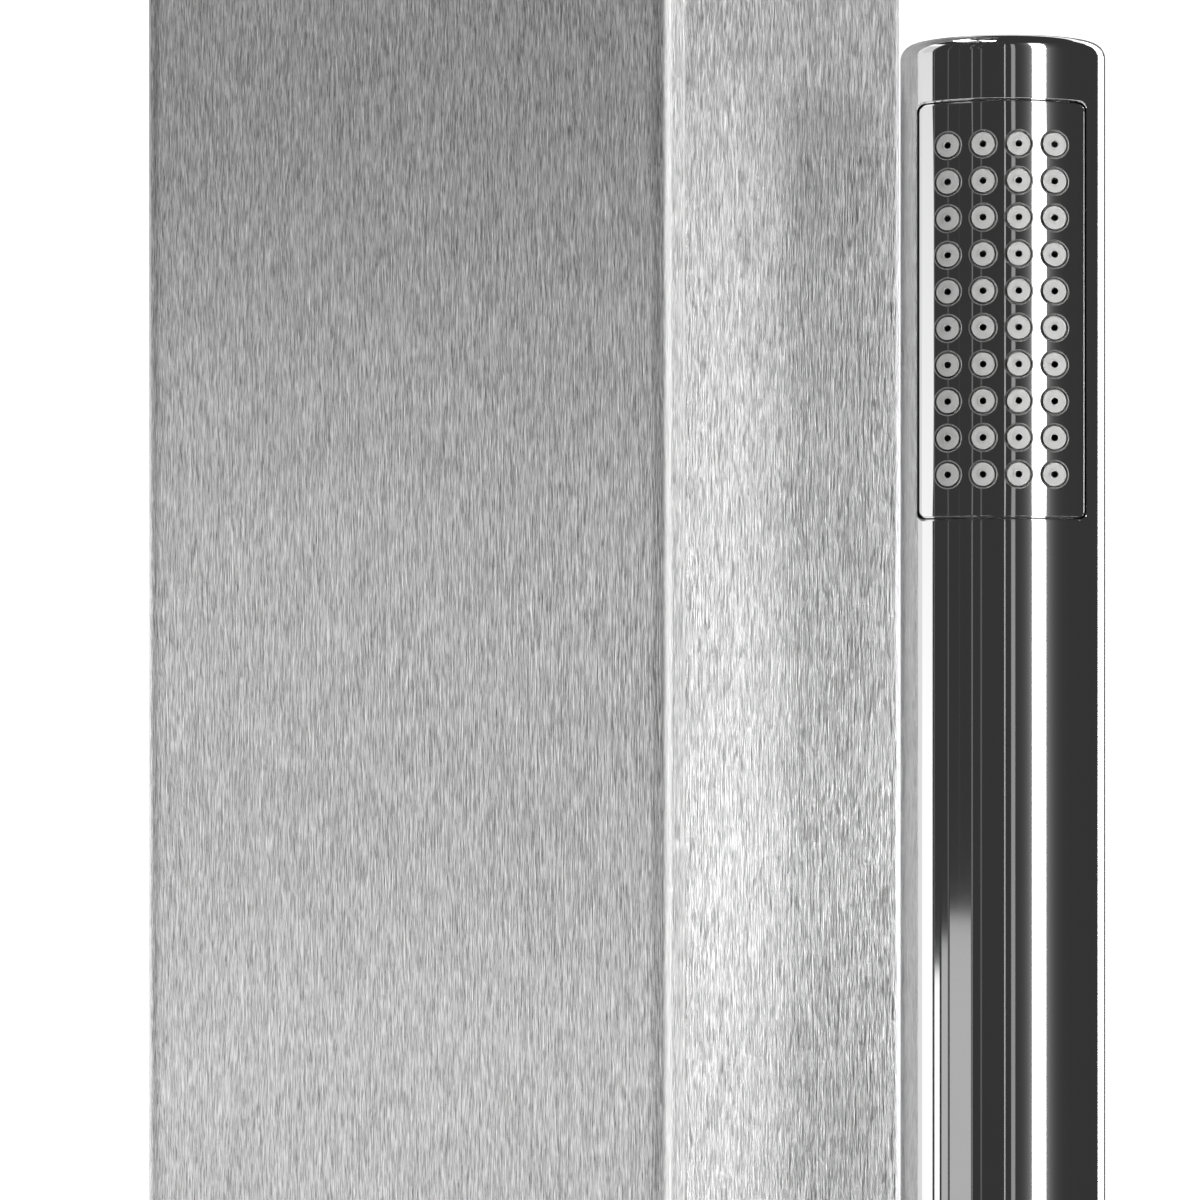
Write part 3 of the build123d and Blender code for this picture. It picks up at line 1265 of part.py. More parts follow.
def spray_plate():
    plate = spray_shell(HANDSET_R, HANDSET_R - SPRAY_PLATE_T) & spray_window(SPRAY_PLATE_GAP)
    plate -= spray_pins(SPRAY_NOZZLE_R + SPRAY_NOZZLE_RING_GAP)
    return placed(chamfer(outside_face(plate).edges(), SPRAY_EDGE_CHAMFER))


def spray_mat_radii():
    outer = HANDSET_R - SPRAY_PLATE_T - SPRAY_MAT_GAP
    return outer - SPRAY_MAT_T, outer


def spray_mat():
    """A curved mat with a nozzle through each hole of the plate, and a lip round each orifice."""
    inner, outer = spray_mat_radii()
    root = (inner + outer) / 2
    face = HANDSET_R + SPRAY_NOZZLE_PROUD
    mat = spray_shell(outer, inner) & spray_window(SPRAY_MAT_SIDE_GAP)
    mat += (Part() + spray_pins(SPRAY_NOZZLE_R)) & spray_shell(face, root)
    mat += (Part() + spray_pins(SPRAY_NOZZLE_LIP_R)) & spray_shell(face + SPRAY_NOZZLE_LIP_H, root)
    return placed(mat - spray_pins(SPRAY_NOZZLE_HOLE_R))


def connector_top():
    """How far the connector reaches above the handset's foot."""
    return END_BUSH_H + CONNECTOR_GAP + CONNECTOR_CLIP_T + CONNECTOR_ABOVE_CLIP


def handset_waterway():
    """The inner pipe, which widens behind the nozzles into an open chamber."""
    low, high = spray_levels()
    radius = min(HANDSET_BORE_R, spray_mat_radii()[0]) - WATERWAY_GAP
    neck = low - WATERWAY_HEAD_MARGIN
    start = connector_top() + WATERWAY_ABOVE_CONNECTOR
    body = rod(WATERWAY_GRIP_R, (0, 0, start), UP, neck - start)
    body += rod(radius, (0, 0, neck), UP, high + WATERWAY_TOP_MARGIN - neck)
    body -= rod(WATERWAY_BORE_R, (0, 0, start), UP, high - WATERWAY_CHAMBER_WALL - start)
    half = SPRAY_HALF_WIDTH - 2 * WATERWAY_CHAMBER_WALL
    chamber = block(
        (-half, -2 * HANDSET_R, low + WATERWAY_CHAMBER_WALL),
        (half, 0, high - WATERWAY_CHAMBER_WALL),
    )
    return placed(body - chamber)


def handset_end_bush():
    return placed(pipe(HANDSET_BORE_R - THREAD_GAP, END_BUSH_BORE_R, (0, 0, 0), UP, END_BUSH_H))


def clip_low():
    return END_BUSH_H + CONNECTOR_GAP


def seal_level():
    return END_BUSH_H / 2


def connector_neck_r():
    return END_BUSH_BORE_R - CONNECTOR_GAP / 2


def hose_connector():
    """The swivel that the hose screws on. Its neck turns in the handset's bush."""
    neck_r = connector_neck_r()
    flange_top = -CONNECTOR_GAP
    flange_low = flange_top - CONNECTOR_FLANGE_T
    thread_top = flange_low - CONNECTOR_UNDERCUT
    body = rod(neck_r, (0, 0, flange_low), UP, connector_top() - flange_low)
    body += rod(CONNECTOR_FLANGE_R, (0, 0, flange_low), UP, CONNECTOR_FLANGE_T)
    body += rod(CONNECTOR_UNDERCUT_R, (0, 0, thread_top), UP, CONNECTOR_UNDERCUT)
    thread = rod(PIPE_THREAD_R, (0, 0, thread_top), DOWN, CONNECTOR_THREAD)
    body += chamfer(edge_at(thread, PIPE_THREAD_R, Axis.Z, last=False), THREAD_CHAMFER)
    groove = neck_r - CONNECTOR_CLIP_DEPTH
    body -= pipe(2 * neck_r, groove, (0, 0, clip_low()), UP, CONNECTOR_CLIP_T)
    seal_half = 2 * CONNECTOR_SEAL_R
    body -= pipe(2 * neck_r, groove, (0, 0, seal_level() - seal_half / 2), UP, seal_half)
    low = thread_top - CONNECTOR_THREAD
    body -= rod(CONNECTOR_BORE_R, (0, 0, low), UP, connector_top() - low)
    body -= rod(CONNECTOR_WASHER_R + THREAD_GAP, (0, 0, low), UP, CONNECTOR_WASHER_T)
    return placed(body)


def connector_clip():
    """A C clip in the neck's groove, above the bush."""
    inner = connector_neck_r() - CONNECTOR_CLIP_DEPTH + THREAD_GAP
    low = (0, 0, clip_low() + THREAD_GAP)
    ring = pipe(CONNECTOR_CLIP_R, inner, low, UP, CONNECTOR_CLIP_T - 2 * THREAD_GAP)
    half = CONNECTOR_CLIP_OPENING / 2
    gap = block((0, -half, clip_low()), (2 * CONNECTOR_CLIP_R, half, clip_low() + CONNECTOR_CLIP_T))
    return placed(ring - gap)


def connector_seal():
    inner = connector_neck_r() - CONNECTOR_CLIP_DEPTH
    centre = (inner + END_BUSH_BORE_R) / 2
    section = Plane.XZ * Pos(centre, seal_level()) * Circle(CONNECTOR_SEAL_R)
    return placed(revolve(section, Axis.Z))


def connector_washer():
    low = (0, 0, -CONNECTOR_GAP - CONNECTOR_FLANGE_T - CONNECTOR_UNDERCUT - CONNECTOR_THREAD)
    height = CONNECTOR_WASHER_T - THREAD_GAP
    return placed(pipe(CONNECTOR_WASHER_R, CONNECTOR_BORE_R, low, UP, height))


def main():
    os.makedirs("parts", exist_ok=True)
    save("base_plate", base_plate())
    save("base_socket", base_socket())
    save("column_fixing_screws", *fixing_screws())
    save("column_shell", column_shell())
    save("column_top_cap", top_cap())
    save("rear_panel", rear_panel())
    save("rear_panel_screws", *panel_screws())
    save("rear_panel_rivet_nuts", *panel_rivet_nuts())
    save("inlet_elbows", *[inlet_elbow(x) for x in inlet_points()])
    save("wall_locknuts", *inlet_locknuts(), outlet_locknut())
    save("supply_pipes", *[supply_pipe(x) for x in inlet_points()])
    save("supply_pipe_nuts", *supply_nuts())
    save("mixer_to_diverter_pipe", link_pipe())
    save("riser_pipe", riser_pipe())
    save("riser_clips", *riser_clips())
    save("hand_outlet_pipe", hand_pipe())
    save("arm_wall_plate", arm_plate())
    save("arm_tube", arm_tube())
    save("arm_end_cap", arm_end_cap())
    save("arm_nipple", arm_nipple(), arm_backing_nut())
    save("riser_elbow", riser_elbow())
    save("head_ball_stud", head_ball_stud())
    save("head_ball_ring", head_ball_ring())
    save("head_ball_nut", head_ball_nut())
    save("head_ball_seal", head_ball_seal())
    save("head_hub", head_hub())
    save("head_top_shell", head_top_shell())
    save("head_spray_plate", head_spray_plate())
    save("head_nozzle_mat", head_nozzle_mat())
    save("head_gasket", head_gasket())
    save("head_screws", *head_screws())
    save("mixer_body", mixer_body())
    save("mixer_cartridge", mixer_cartridge())
    save("mixer_retaining_nut", mixer_retaining_nut())
    save("mixer_rosette", mixer_rosette())
    save("mixer_dome", mixer_dome())
    save("mixer_rotor", mixer_rotor())
    save("mixer_stem", mixer_stem())
    save("mixer_handle", mixer_handle())
    save("mixer_handle_screw", mixer_handle_screw(), mixer_index_button())
    save("mixer_lever", mixer_lever())
    save("diverter_body", diverter_body())
    save("diverter_cartridge", diverter_cartridge())
    save("diverter_rosette", diverter_rosette())
    save("diverter_spindle", diverter_spindle())
    save("diverter_knob", diverter_knob())
    save("diverter_pointer", diverter_pin(), diverter_grub_screw())
    save("outlet_elbow", outlet_elbow())
    save("outlet_rosette", outlet_rosette())
    save("holder_base", holder_base())
    save("holder_fasteners", *holder_bolts(), holder_screw(), holder_washer())
    save("holder_ring", holder_ring())
    save("holder_liner", holder_liner())
    save("handset_body", handset_body())
    save("handset_spray_plate", spray_plate())
    save("handset_nozzle_mat", spray_mat())
    save("handset_waterway", handset_waterway())
    save("handset_end_bush", handset_end_bush())
    save("hose_connector", hose_connector())
    save("hose_connector_rings", connector_clip(), connector_seal(), connector_washer())


main()
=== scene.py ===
import math

import bpy
import numpy as np
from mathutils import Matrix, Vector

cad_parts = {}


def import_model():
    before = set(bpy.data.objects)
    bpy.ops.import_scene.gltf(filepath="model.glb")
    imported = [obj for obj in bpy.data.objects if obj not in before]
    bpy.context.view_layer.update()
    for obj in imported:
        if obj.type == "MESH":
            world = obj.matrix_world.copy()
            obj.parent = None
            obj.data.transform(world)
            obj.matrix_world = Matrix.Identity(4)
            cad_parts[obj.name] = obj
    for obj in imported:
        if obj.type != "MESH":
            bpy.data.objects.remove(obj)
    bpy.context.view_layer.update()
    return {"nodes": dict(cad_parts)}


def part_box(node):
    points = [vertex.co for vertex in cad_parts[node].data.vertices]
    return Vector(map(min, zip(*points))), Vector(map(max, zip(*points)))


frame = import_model()
nodes = frame["nodes"]

# Camera. Its place is measured from the handset's axis and top, which the photograph shows
FOCAL_PX = 4700.0
IMAGE_PX = 1200.0
HORIZON_PX = 614.0
SENSOR_MM = 36.0
CAMERA_TURN = 43.457
CAMERA_FROM_HANDSET = (0.35998, -0.45158)
CAMERA_BELOW_TOP = 0.0696
CLIP_START = 0.05
CLIP_END = 50.0

# Brightness of the backdrop, the ambient light, the lamps, and the dark flags between the lamps
BACKDROP = 1.25
AMBIENT = 0.28
STRIP = 3.2
KEY = 17.5
MIDDLE_PANEL = 0.85
BACK_EDGE = 0.2
SOFTBOX = 7.0
DARK = 0.04

# The same of the panels, at heights in metres: the steel mirrors each height in its own row of the picture
NEAR_PANEL = [(1.2, 1.25), (1.9, 0.7)]
FAR_PANEL = [(1.03, 2.25), (1.11, 2.9), (1.13, 2.7), (1.36, 2.75), (1.55, 1.15), (1.64, 0.4), (1.72, 0.2)]
BACK_PANEL = [(1.01, 6.5), (1.17, 8.6), (1.36, 6.7), (1.56, 5.5), (1.66, 4.2), (1.74, 2.6)]

# Distances of the cards from the handset's axis and their heights, in metres
LAMP_RADIUS = 2.4
GEAR_RADIUS = 2.5
FLAG_RADIUS = 2.6
FLOOR_RADIUS = 2.2
SOFTBOX_RADII = (0.9, 1.43)
CEILING_HEIGHT = 4.0
SOFTBOX_HEIGHT = 3.9
LAMP_HEIGHTS = (0.02, 3.2)
FLAG_HEIGHTS = (-0.5, CEILING_HEIGHT)

# Turns round the handset's axis, in degrees from the front towards the right, where things start and end
FAR_PANEL_TURNS = (-125.0, -78.0)
MIDDLE_PANEL_TURNS = (-78.0, -64.0)
NEAR_PANEL_TURNS = (-64.0, -47.0)
FRONT_FLAG_TURNS = (-47.0, 71.7)
KEY_TURNS = (66.0, 74.0)
STRIP_TURNS = (71.7, 88.0)
SIDE_FLAG_TURNS = (88.0, 174.5)
BACK_TURNS = (174.5, 196.0)
BACK_EDGE_TURNS = (196.0, 235.0)
SOFTBOX_TURNS = (-85.0, 25.0)
FULL_TURN = (0.0, 360.0)

# The strip's glow on the flags: its brightness beside the strip, and the degrees over which it falls off
GLOW = 0.27
GLOW_FRONT = 4.5
GLOW_SIDE = 5.5

# Stands and gaps that show as thin lines: turn, width in degrees, brightness
STAND_LINES = [
    (-44.3, 0.8, 0.16),
    (-24.9, 1.2, 0.13),
    (-10.7, 1.6, 0.05),
    (4.3, 1.2, 0.22),
    (14.7, 1.6, 0.13),
    (41.0, 1.0, 0.65),
    (50.3, 4.4, 0.33),
]

# Low things in front of the flags: the turns where they start and end, top in metres, brightness
LOW_GEAR = [
    (-43.8, -36.6, 1.12, 1.3),
    (-33.8, -25.5, 1.14, 0.50),
    (-22.9, 3.0, 1.155, 0.50),
]

# Points round and up a card, and round the floor
CARD_COLUMNS = 65
CARD_ROWS = 49
FLOOR_COLUMNS = 97

# Brushed steel. Hairlines vary its brightness, and grooves spread what it mirrors, both sized in metres
HAIRLINE_WIDTH = 0.00012
HAIRLINE_LENGTH = 0.0018
HAIRLINE_CONTRAST = 2.2
FINE_SHARE = 0.85
BROADER = 4.0
GROOVE_WIDTH = 0.00012
GROOVE_LENGTH = 0.004
GROOVE_DEPTH = 0.000145
STEEL_BRIGHTNESS = 0.64
STEEL_METAL = 0.68
STEEL_ROUGHNESS = 0.14
STEEL_ROUGHNESS_SPREAD = 0.04

# The column's bends: the painted highlight at each sine of the turn from the front, which also thins the
# hairlines, and the thin band of painted shade before them
BEND_PAINTED_HIGHLIGHT = [(0.0, 0.0), (0.17, 0.0), (0.33, 0.7), (0.42, 1.0), (0.60, 1.0), (0.70, 0.35), (0.975, 0.35),
                 (0.985, 0.8), (0.993, 0.3), (1.0, 0.0)]
BEND_PAINTED_HIGHLIGHT_GAIN = 0.36
BEND_HIGHLIGHT_LESS_METAL = 0.66
BEND_FEWER_LINES = 0.7
BEND_BAND_PLACE = 0.0472
BEND_BAND_WIDTH = 0.0008
BEND_PAINTED_SHADE = 0.36

# How many smears, grains or patches of the other finishes lie along a metre
SMEARS = (60, 60, 18)
CHROME_GRAINS = 4000
TURNED_GRAINS = 3000
WORN_PATCHES = 120
DARKENED_PATCHES = 90
MOULDED_GRAINS = 2500
MOULDED_PATCHES = 80
POWDER_GRAINS = 5200
FLOOR_PATCHES = 3

# Sockets of the Mix node that mixes colours
MIX_FACTOR = 0
MIX_LOW = 6
MIX_HIGH = 7
MIXED_COLOUR = 2


def placed_mesh(name, vertices, faces):
    """A mesh object at the origin, with smooth shading, from vertex and face arrays."""
    mesh = bpy.data.meshes.new(name)
    mesh.from_pydata(vertices, [], faces)
    mesh.update()
    mesh.polygons.foreach_set("use_smooth", np.ones(len(mesh.polygons), dtype=bool))
    thing = bpy.data.objects.new(name, mesh)
    bpy.context.scene.collection.objects.link(thing)
    return thing


def grid_faces(rows, columns):
    """Quads that join a grid of rows by columns points."""
    first = (np.arange(rows - 1)[:, None] * columns + np.arange(columns - 1)).ravel()
    return np.stack([first, first + 1, first + columns + 1, first + columns], axis=1)


class Value:
    """What a node gives, mostly a number that varies over a surface. Arithmetic on it adds Math nodes."""

    def __init__(self, shading, socket):
        self.shading = shading
        self.socket = socket

    def _math(self, operation, left, right):
        return self.shading.value("ShaderNodeMath", {"operation": operation}, [left, right])

    def __add__(self, other):
        return self._math("ADD", self, other)

    def __radd__(self, other):
        return self._math("ADD", other, self)

    def __sub__(self, other):
        return self._math("SUBTRACT", self, other)

    def __rsub__(self, other):
        return self._math("SUBTRACT", other, self)

    def __mul__(self, other):
        return self._math("MULTIPLY", self, other)

    def __rmul__(self, other):
        return self._math("MULTIPLY", other, self)

    def __truediv__(self, other):
        return self._math("DIVIDE", self, other)


class Shading:
    """The nodes of a material or of the world."""

    def __init__(self, owner):
        owner.use_nodes = True
        self.owner = owner
        self.tree = owner.node_tree

    def node(self, kind, settings=None, inputs=()):
        """Adds a node, makes its settings, then fills its sockets with values or links."""
        made = self.tree.nodes.new(kind)
        for key, setting in (settings or {}).items():
            if key == "stops":
                self._set_stops(made.color_ramp.elements, setting)
            else:
                setattr(made, key, setting)
        pairs = inputs.items() if isinstance(inputs, dict) else enumerate(inputs)
        for key, given in pairs:
            self._fill(made.inputs[key], given)
        return made

    def value(self, kind, settings=None, inputs=(), output=0):
        return Value(self, self.node(kind, settings, inputs).outputs[output])

    def _set_stops(self, elements, stops):
        """Puts the stops of a ramp at pairs of place and level."""
        for place, _ in stops[1:-1]:
            elements.new(place)
        for element, (place, level) in zip(elements, stops):
            element.position = place
            element.color = (level, level, level, 1.0)

    def _fill(self, socket, given):
        if isinstance(given, Value):
            self.tree.links.new(given.socket, socket)
        else:
            socket.default_value = given


class Finish(Shading):
    """A material for parts, with its main shader."""

    def __init__(self, name):
        super().__init__(bpy.data.materials.new(name))
        self.shader = self.tree.nodes["Principled BSDF"]

    def noise(self, density, detail=2.0, roughness=0.5):
        """Noise round 0, with so many grains to the metre along x, y and z."""
        here = self.value("ShaderNodeTexCoord", output="Object")
        place = self.value("ShaderNodeVectorMath", {"operation": "MULTIPLY"}, [here, density])
        inputs = {"Vector": place, "Scale": 1.0, "Detail": detail, "Roughness": roughness}
        return self.value("ShaderNodeTexNoise", None, inputs) - 0.5

    def grains(self, density, detail=2.0):
        """Noise round 0, the same in all directions."""
        return self.noise((density, density, density), detail)

    def across(self, output):
        """How far to the side a point lies, or its surface faces, without the sign."""
        vector = self.value("ShaderNodeTexCoord", output=output)
        side = self.value("ShaderNodeSeparateXYZ", None, [vector])
        return self.value("ShaderNodeMath", {"operation": "ABSOLUTE"}, [side])

    def grey(self, brightness):
        """A neutral colour of a varying brightness."""
        return self.value("ShaderNodeCombineColor", None, [brightness, brightness, brightness])

    def tint(self, factor, low, high):
        """A colour between two, by a factor."""
        inputs = {MIX_FACTOR: factor, MIX_LOW: (*low, 1.0), MIX_HIGH: (*high, 1.0)}
        return self.value("ShaderNodeMix", {"data_type": "RGBA"}, inputs, MIXED_COLOUR)

    def bump(self, height, strength, distance):
        inputs = {"Strength": strength, "Distance": distance, "Height": height}
        return self.value("ShaderNodeBump", None, inputs)

    def set(self, **sockets):
        """Fills the main shader's sockets, named with underscores for spaces, and gives the material."""
        for name, given in sockets.items():
            self._fill(self.shader.inputs[name.replace("_", " ")], given)
        return self.owner


def stretched(axis, width, length):
    """The density of a noise whose grains are so wide, and so long along one axis."""
    return [1 / length if name == axis else 1 / width for name in "xyz"]


def brushed_steel(axis, bent=0.0):
    """Stainless sheet, brushed along one axis.

    Noises stretched along the axis make fine and broader hairlines, which vary the brightness, and grooves,
    whose slopes spread what the metal mirrors across them and hardly along them. Where the column is bent,
    its skin is stretched, so it loses its hairlines, and a painted highlight, set by the way the surface
    faces, makes it paler and less metallic. Just before the bend there is a thin band of painted shade: the
    brightness times 1 less the band's shade times e to the power of -d squared, for the distance d from the
    middle of the band in widths of the band.
    """
    finish = Finish("brushed_steel_" + axis)
    density = stretched(axis, HAIRLINE_WIDTH, HAIRLINE_LENGTH)
    fine = finish.noise(density, roughness=0.6)
    broad = finish.noise([factor / BROADER for factor in density])
    grooves = finish.noise(stretched(axis, GROOVE_WIDTH, GROOVE_LENGTH), detail=1.0)
    facing = finish.across("Normal")
    # Painted highlight on the bends, set by the way the surface faces: paler and less metallic there, and
    # with fewer hairlines
    painted_highlight_and_smooth_bend = finish.value("ShaderNodeValToRGB", {"stops": BEND_PAINTED_HIGHLIGHT}, [facing]) * bent
    # Painted shade: a thin dark band just before each bend, where the sheet starts to turn
    off = (finish.across("Object") - BEND_BAND_PLACE) / BEND_BAND_WIDTH
    painted_shade_band = finish.value("ShaderNodeMath", {"operation": "EXPONENT"}, [0.0 - off * off])
    lines = (fine * FINE_SHARE + broad * (1.0 - FINE_SHARE)) * HAIRLINE_CONTRAST
    brightness = STEEL_BRIGHTNESS + lines * (1.0 - painted_highlight_and_smooth_bend * BEND_FEWER_LINES) + painted_highlight_and_smooth_bend * BEND_PAINTED_HIGHLIGHT_GAIN
    return finish.set(
        # The base colour carries the bends' painted highlight and the painted shade just before them
        Base_Color=finish.grey(brightness * (1.0 - painted_shade_band * (bent * BEND_PAINTED_SHADE))),
        Metallic=STEEL_METAL - painted_highlight_and_smooth_bend * BEND_HIGHLIGHT_LESS_METAL,
        Roughness=STEEL_ROUGHNESS + broad * STEEL_ROUGHNESS_SPREAD,
        Anisotropic=1.0,
        Normal=finish.bump(grooves, 1.0, GROOVE_DEPTH),
    )


def chrome():
    """Mirror plating, with faint smears that dull it here and there."""
    finish = Finish("chrome")
    smear = finish.noise(SMEARS, detail=4.0, roughness=0.6)
    grain = finish.grains(CHROME_GRAINS)
    return finish.set(
        Base_Color=finish.grey(0.84 + smear * 0.04),
        Metallic=1.0,
        Roughness=0.04 + smear * 0.05 + grain * 0.01,
    )


def machined_steel():
    """Screws and clips, turned, with a fine grain."""
    finish = Finish("machined_steel")
    grain = finish.grains(TURNED_GRAINS)
    worn = finish.grains(WORN_PATCHES, detail=3.0)
    return finish.set(
        Base_Color=finish.grey(0.55 + grain * 0.12),
        Metallic=1.0,
        Roughness=0.30 + worn * 0.12,
    )


def brass():
    """Cast and turned brass, a little darkened."""
    finish = Finish("brass")
    dark = finish.grains(DARKENED_PATCHES, detail=4.0)
    return finish.set(
        Base_Color=finish.tint(dark + 0.5, (0.78, 0.58, 0.30), (0.62, 0.43, 0.20)),
        Metallic=1.0,
        Roughness=0.32 + dark * 0.2,
    )


def moulded_plastic(name, low, high):
    """Plastic with a fine moulded grain."""
    finish = Finish(name)
    grain = finish.grains(MOULDED_GRAINS)
    patch = finish.grains(MOULDED_PATCHES)
    return finish.set(
        Base_Color=finish.tint(patch + 0.5, low, high),
        Roughness=0.42 + grain * 0.2,
        Normal=finish.bump(grain, 0.15, 0.00005),
    )


def silicone(name, low, high):
    """Soft rubber, matt, with a powdery grain."""
    finish = Finish(name)
    grain = finish.grains(POWDER_GRAINS, detail=3.0)
    return finish.set(
        Base_Color=finish.tint(grain + 0.5, low, high),
        Roughness=0.55 + grain * 0.15,
        Normal=finish.bump(grain, 0.2, 0.00004),
    )


def finishes():
    """Each finish and the parts that it covers."""
    return [
        # bent=1.0 gives the column's bends their painted highlight and the painted shade just before them
        (brushed_steel("z", bent=1.0), ["column_shell", "rear_panel"]),
        (brushed_steel("y"), ["arm_tube", "arm_end_cap"]),
        (brushed_steel("x"), ["base_plate", "column_top_cap", "arm_wall_plate", "head_top_shell",
                              "head_spray_plate"]),
        (machined_steel(), ["base_socket", "column_fixing_screws", "rear_panel_screws",
                            "rear_panel_rivet_nuts", "head_screws", "holder_fasteners",
                            "mixer_handle_screw", "hose_connector_rings", "supply_pipes",
                            "mixer_to_diverter_pipe", "riser_pipe", "hand_outlet_pipe"]),
        (chrome(), ["head_ball_stud", "head_ball_nut", "head_hub", "mixer_rosette", "mixer_dome",
                    "mixer_handle", "mixer_lever", "diverter_rosette", "diverter_knob",
                    "diverter_pointer", "outlet_elbow", "outlet_rosette", "holder_base", "holder_ring",
                    "hose_connector", "handset_body", "handset_spray_plate"]),
        (brass(), ["inlet_elbows", "wall_locknuts", "supply_pipe_nuts", "arm_nipple", "riser_elbow",
                   "mixer_body", "mixer_retaining_nut", "mixer_rotor", "mixer_stem", "diverter_body",
                   "diverter_spindle"]),
        (moulded_plastic("white_plastic", (0.80, 0.80, 0.78), (0.74, 0.74, 0.72)),
         ["riser_clips", "mixer_cartridge", "diverter_cartridge", "head_ball_ring", "handset_waterway",
          "handset_end_bush"]),
        (moulded_plastic("black_plastic", (0.03, 0.03, 0.03), (0.05, 0.05, 0.05)), ["holder_liner"]),
        (silicone("pale_silicone", (0.47, 0.47, 0.465), (0.53, 0.53, 0.525)),
         ["handset_nozzle_mat", "head_nozzle_mat"]),
        (silicone("black_rubber", (0.02, 0.02, 0.02), (0.04, 0.04, 0.04)),
         ["head_ball_seal", "head_gasket"]),
    ]


def dress_nodes():
    for material, names in finishes():
        for name in names:
            slots = nodes[name].material_slots
            if not slots:
                nodes[name].data.materials.append(material)
            for slot in slots:
                slot.material = material


def handset_axis():
    """The handset's place from above, and its top."""
    low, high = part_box("handset_body")
    return (low[0] + high[0]) / 2, (low[1] + high[1]) / 2, high[2]


def glow(name):
    """Emission of a strength that the mesh's brightness attribute gives."""
    shading = Shading(bpy.data.materials.new(name))
    shading.tree.nodes.clear()
    brightness = shading.value("ShaderNodeAttribute", {"attribute_name": "brightness"}, output="Fac")
    emission = shading.value("ShaderNodeEmission", None, {"Strength": brightness})
    shading.node("ShaderNodeOutputMaterial", None, {"Surface": emission})
    return shading.owner


def stage_card(name, points, brightness, lights=False, mirrored=True):
    """A card from a grid of points, with a brightness at each, which the camera doesn't see.

    The panels light the part and are mirrored in it, the key only lights it, and the rest is only mirrored.
    """
    rows, columns, _ = points.shape
    card = placed_mesh(name, points.reshape(-1, 3), grid_faces(rows, columns))
    values = card.data.attributes.new("brightness", "FLOAT", "POINT")
    values.data.foreach_set("value", np.broadcast_to(brightness, (rows, columns)).astype(np.float32).ravel())
    card.data.materials.append(glow(name + "_glow"))
    card.visible_camera = False
    card.visible_diffuse = lights
    card.visible_glossy = mirrored
    card.visible_shadow = False


def studio_card(name, radius, turns, heights, brightness, lights=False, mirrored=True):
    """A curved card round the handset's axis.

    A point is the axis's place plus radius times (sin a, -cos a) at height z, for the turn a and the height
    z between their limits. The brightness is a function of a in degrees and z.
    """
    x, y, _ = handset_axis()
    turn, height = np.meshgrid(np.linspace(*turns, CARD_COLUMNS), np.linspace(*heights, CARD_ROWS))
    a = np.radians(turn)
    points = np.stack([x + radius * np.sin(a), y - radius * np.cos(a), height], axis=-1)
    stage_card(name, points, brightness(turn, height), lights, mirrored)


def flat_card(name, turns, radii, height, brightness):
    """A level card, a sector of a ring round the handset's axis: (r sin a, -r cos a) at one height."""
    x, y, _ = handset_axis()
    a, r = np.meshgrid(np.radians(np.linspace(*turns, CARD_COLUMNS)), np.array(radii))
    points = np.stack([x + r * np.sin(a), y - r * np.cos(a), np.full_like(a, height)], axis=-1)
    stage_card(name, points, brightness)


def levels(steps):
    """The brightness of a lamp that changes with height, from steps of height and brightness."""
    heights, strengths = zip(*steps)
    return lambda turn, height: np.interp(height, heights, strengths)


def even(strength):
    """The same brightness all over."""
    return lambda turn, height: np.full_like(turn, strength)


def flag(edge, spread):
    """The brightness of a dark flag with the strip's glow at one edge."""
    return lambda turn, height: DARK + GLOW * np.exp(-abs(turn - edge) / spread)


def world():
    """The backdrop for what the camera and the metal see, and the ambient light."""
    made = bpy.data.worlds.new("studio")
    bpy.context.scene.world = made
    shading = Shading(made)
    shading.tree.nodes.clear()
    path = shading.node("ShaderNodeLightPath")
    seen = Value(shading, path.outputs["Is Camera Ray"])
    for kind in ("Is Glossy Ray", "Is Transmission Ray"):
        other = Value(shading, path.outputs[kind])
        seen = shading.value("ShaderNodeMath", {"operation": "MAXIMUM"}, [seen, other])
    strength = AMBIENT + seen * (BACKDROP - AMBIENT)
    inputs = {"Color": (1.0, 1.0, 1.0, 1.0), "Strength": strength}
    background = shading.value("ShaderNodeBackground", None, inputs)
    shading.node("ShaderNodeOutputWorld", None, {"Surface": background})


def floor():
    """A pale disc under the part: (r cos a, r sin a) at the ground."""
    finish = Finish("pale_floor")
    patch = finish.grains(FLOOR_PATCHES, detail=3.0)
    a, r = np.meshgrid(np.radians(np.linspace(*FULL_TURN, FLOOR_COLUMNS)), np.array([0.0, FLOOR_RADIUS]))
    points = np.stack([r * np.cos(a), r * np.sin(a), np.zeros_like(a)], axis=-1)
    ground = placed_mesh("floor", points.reshape(-1, 3), grid_faces(2, FLOOR_COLUMNS))
    ground.data.materials.append(finish.set(Base_Color=finish.grey(0.88 + patch * 0.04), Roughness=0.7))


def ceiling():
    """A dark disc above the flags, and a softbox under it, up to the left."""
    flat_card("ceiling", FULL_TURN, (0.0, FLAG_RADIUS), CEILING_HEIGHT, DARK)
    flat_card("softbox", SOFTBOX_TURNS, SOFTBOX_RADII, SOFTBOX_HEIGHT, SOFTBOX)


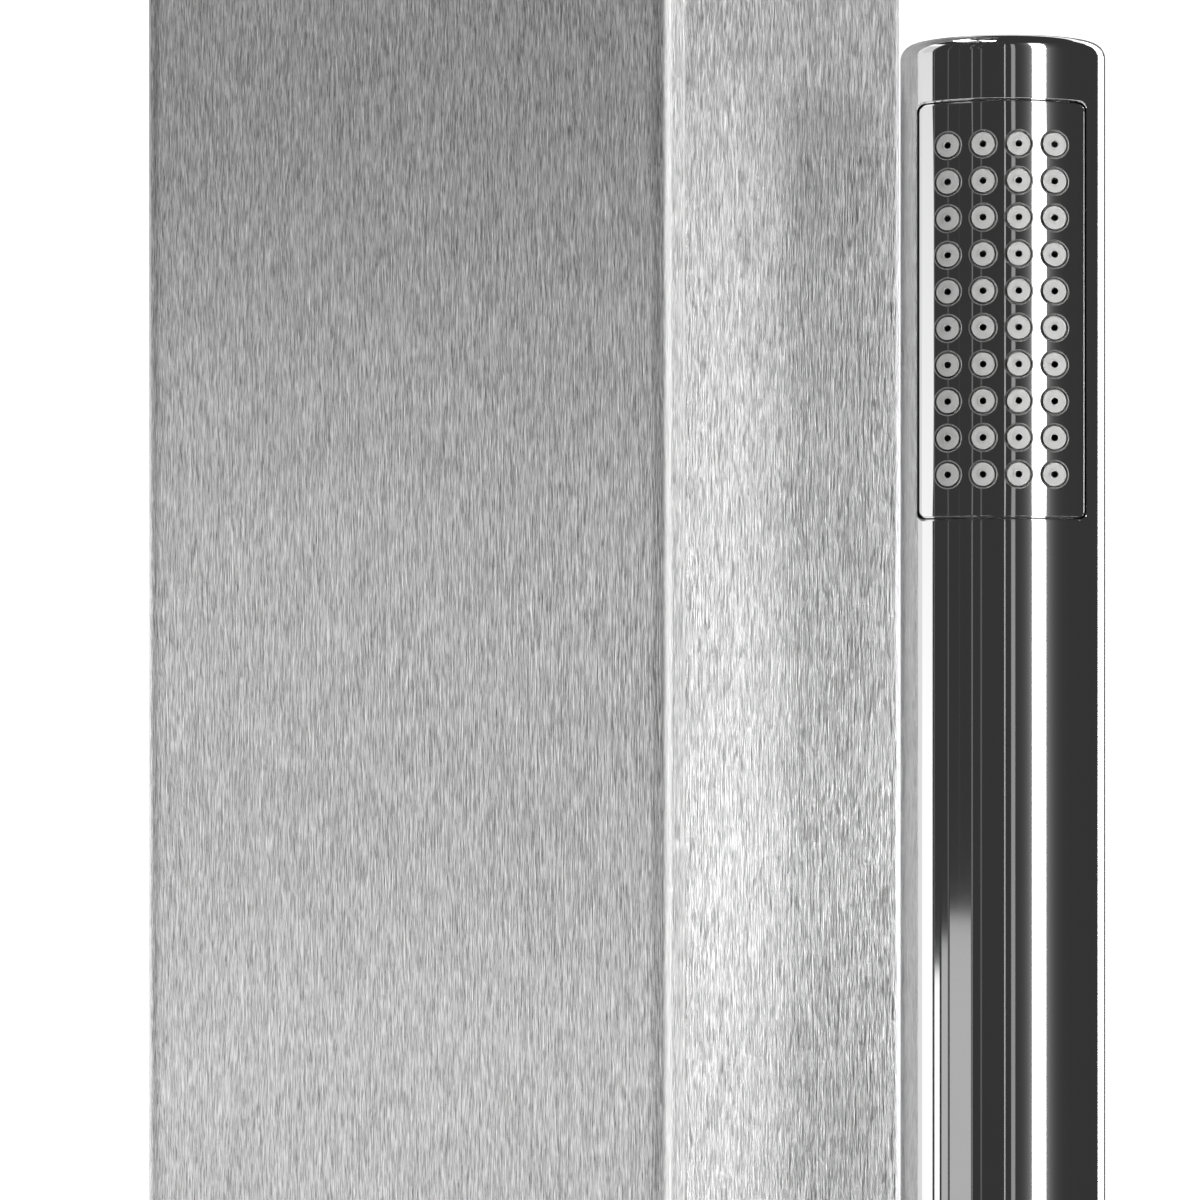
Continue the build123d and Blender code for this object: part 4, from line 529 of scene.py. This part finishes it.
def lamps():
    """The strip, the key and the panels. The key casts the handset's shadow on the column's side."""
    studio_card("side_strip", LAMP_RADIUS, STRIP_TURNS, LAMP_HEIGHTS, even(STRIP))
    studio_card("key", LAMP_RADIUS, KEY_TURNS, LAMP_HEIGHTS, even(KEY), lights=True, mirrored=False)
    panels = [
        ("near_panel", NEAR_PANEL_TURNS, levels(NEAR_PANEL)),
        ("middle_panel", MIDDLE_PANEL_TURNS, even(MIDDLE_PANEL)),
        ("far_panel", FAR_PANEL_TURNS, levels(FAR_PANEL)),
    ]
    for name, turns, brightness in panels:
        studio_card(name, LAMP_RADIUS, turns, LAMP_HEIGHTS, brightness, lights=True)


def flags():
    """What the chrome and the steel mirror between the lamps and behind the part."""
    studio_card("back_panel", FLAG_RADIUS, BACK_TURNS, LAMP_HEIGHTS, levels(BACK_PANEL))
    studio_card("back_edge", FLAG_RADIUS, BACK_EDGE_TURNS, LAMP_HEIGHTS, even(BACK_EDGE))
    front = flag(STRIP_TURNS[0], GLOW_FRONT)
    studio_card("front_flag", FLAG_RADIUS, FRONT_FLAG_TURNS, FLAG_HEIGHTS, front)
    side = flag(STRIP_TURNS[1], GLOW_SIDE)
    studio_card("side_flag", FLAG_RADIUS, SIDE_FLAG_TURNS, FLAG_HEIGHTS, side)


def gear():
    """The thin lines and the low things that the handset mirrors."""
    for number, (turn, width, brightness) in enumerate(STAND_LINES):
        turns = (turn - width / 2, turn + width / 2)
        studio_card("stand_%d" % number, GEAR_RADIUS, turns, LAMP_HEIGHTS, even(brightness))
    for number, (start, end, top, brightness) in enumerate(LOW_GEAR):
        heights = (LAMP_HEIGHTS[0], top)
        studio_card("low_gear_%d" % number, GEAR_RADIUS, (start, end), heights, even(brightness))


def camera():
    x, y, top = handset_axis()
    data = bpy.data.cameras.new("camera")
    data.sensor_width = SENSOR_MM
    data.lens = FOCAL_PX / IMAGE_PX * SENSOR_MM
    data.shift_y = (HORIZON_PX - IMAGE_PX / 2) / IMAGE_PX
    data.clip_start = CLIP_START
    data.clip_end = CLIP_END
    thing = bpy.data.objects.new("camera", data)
    thing.location = (x + CAMERA_FROM_HANDSET[0], y + CAMERA_FROM_HANDSET[1], top - CAMERA_BELOW_TOP)
    thing.rotation_euler = (math.pi / 2, 0, math.radians(CAMERA_TURN))
    bpy.context.scene.collection.objects.link(thing)
    bpy.context.scene.camera = thing


bpy.context.scene.view_settings.view_transform = "Standard"
dress_nodes()
world()
floor()
ceiling()
lamps()
flags()
gear()
camera()
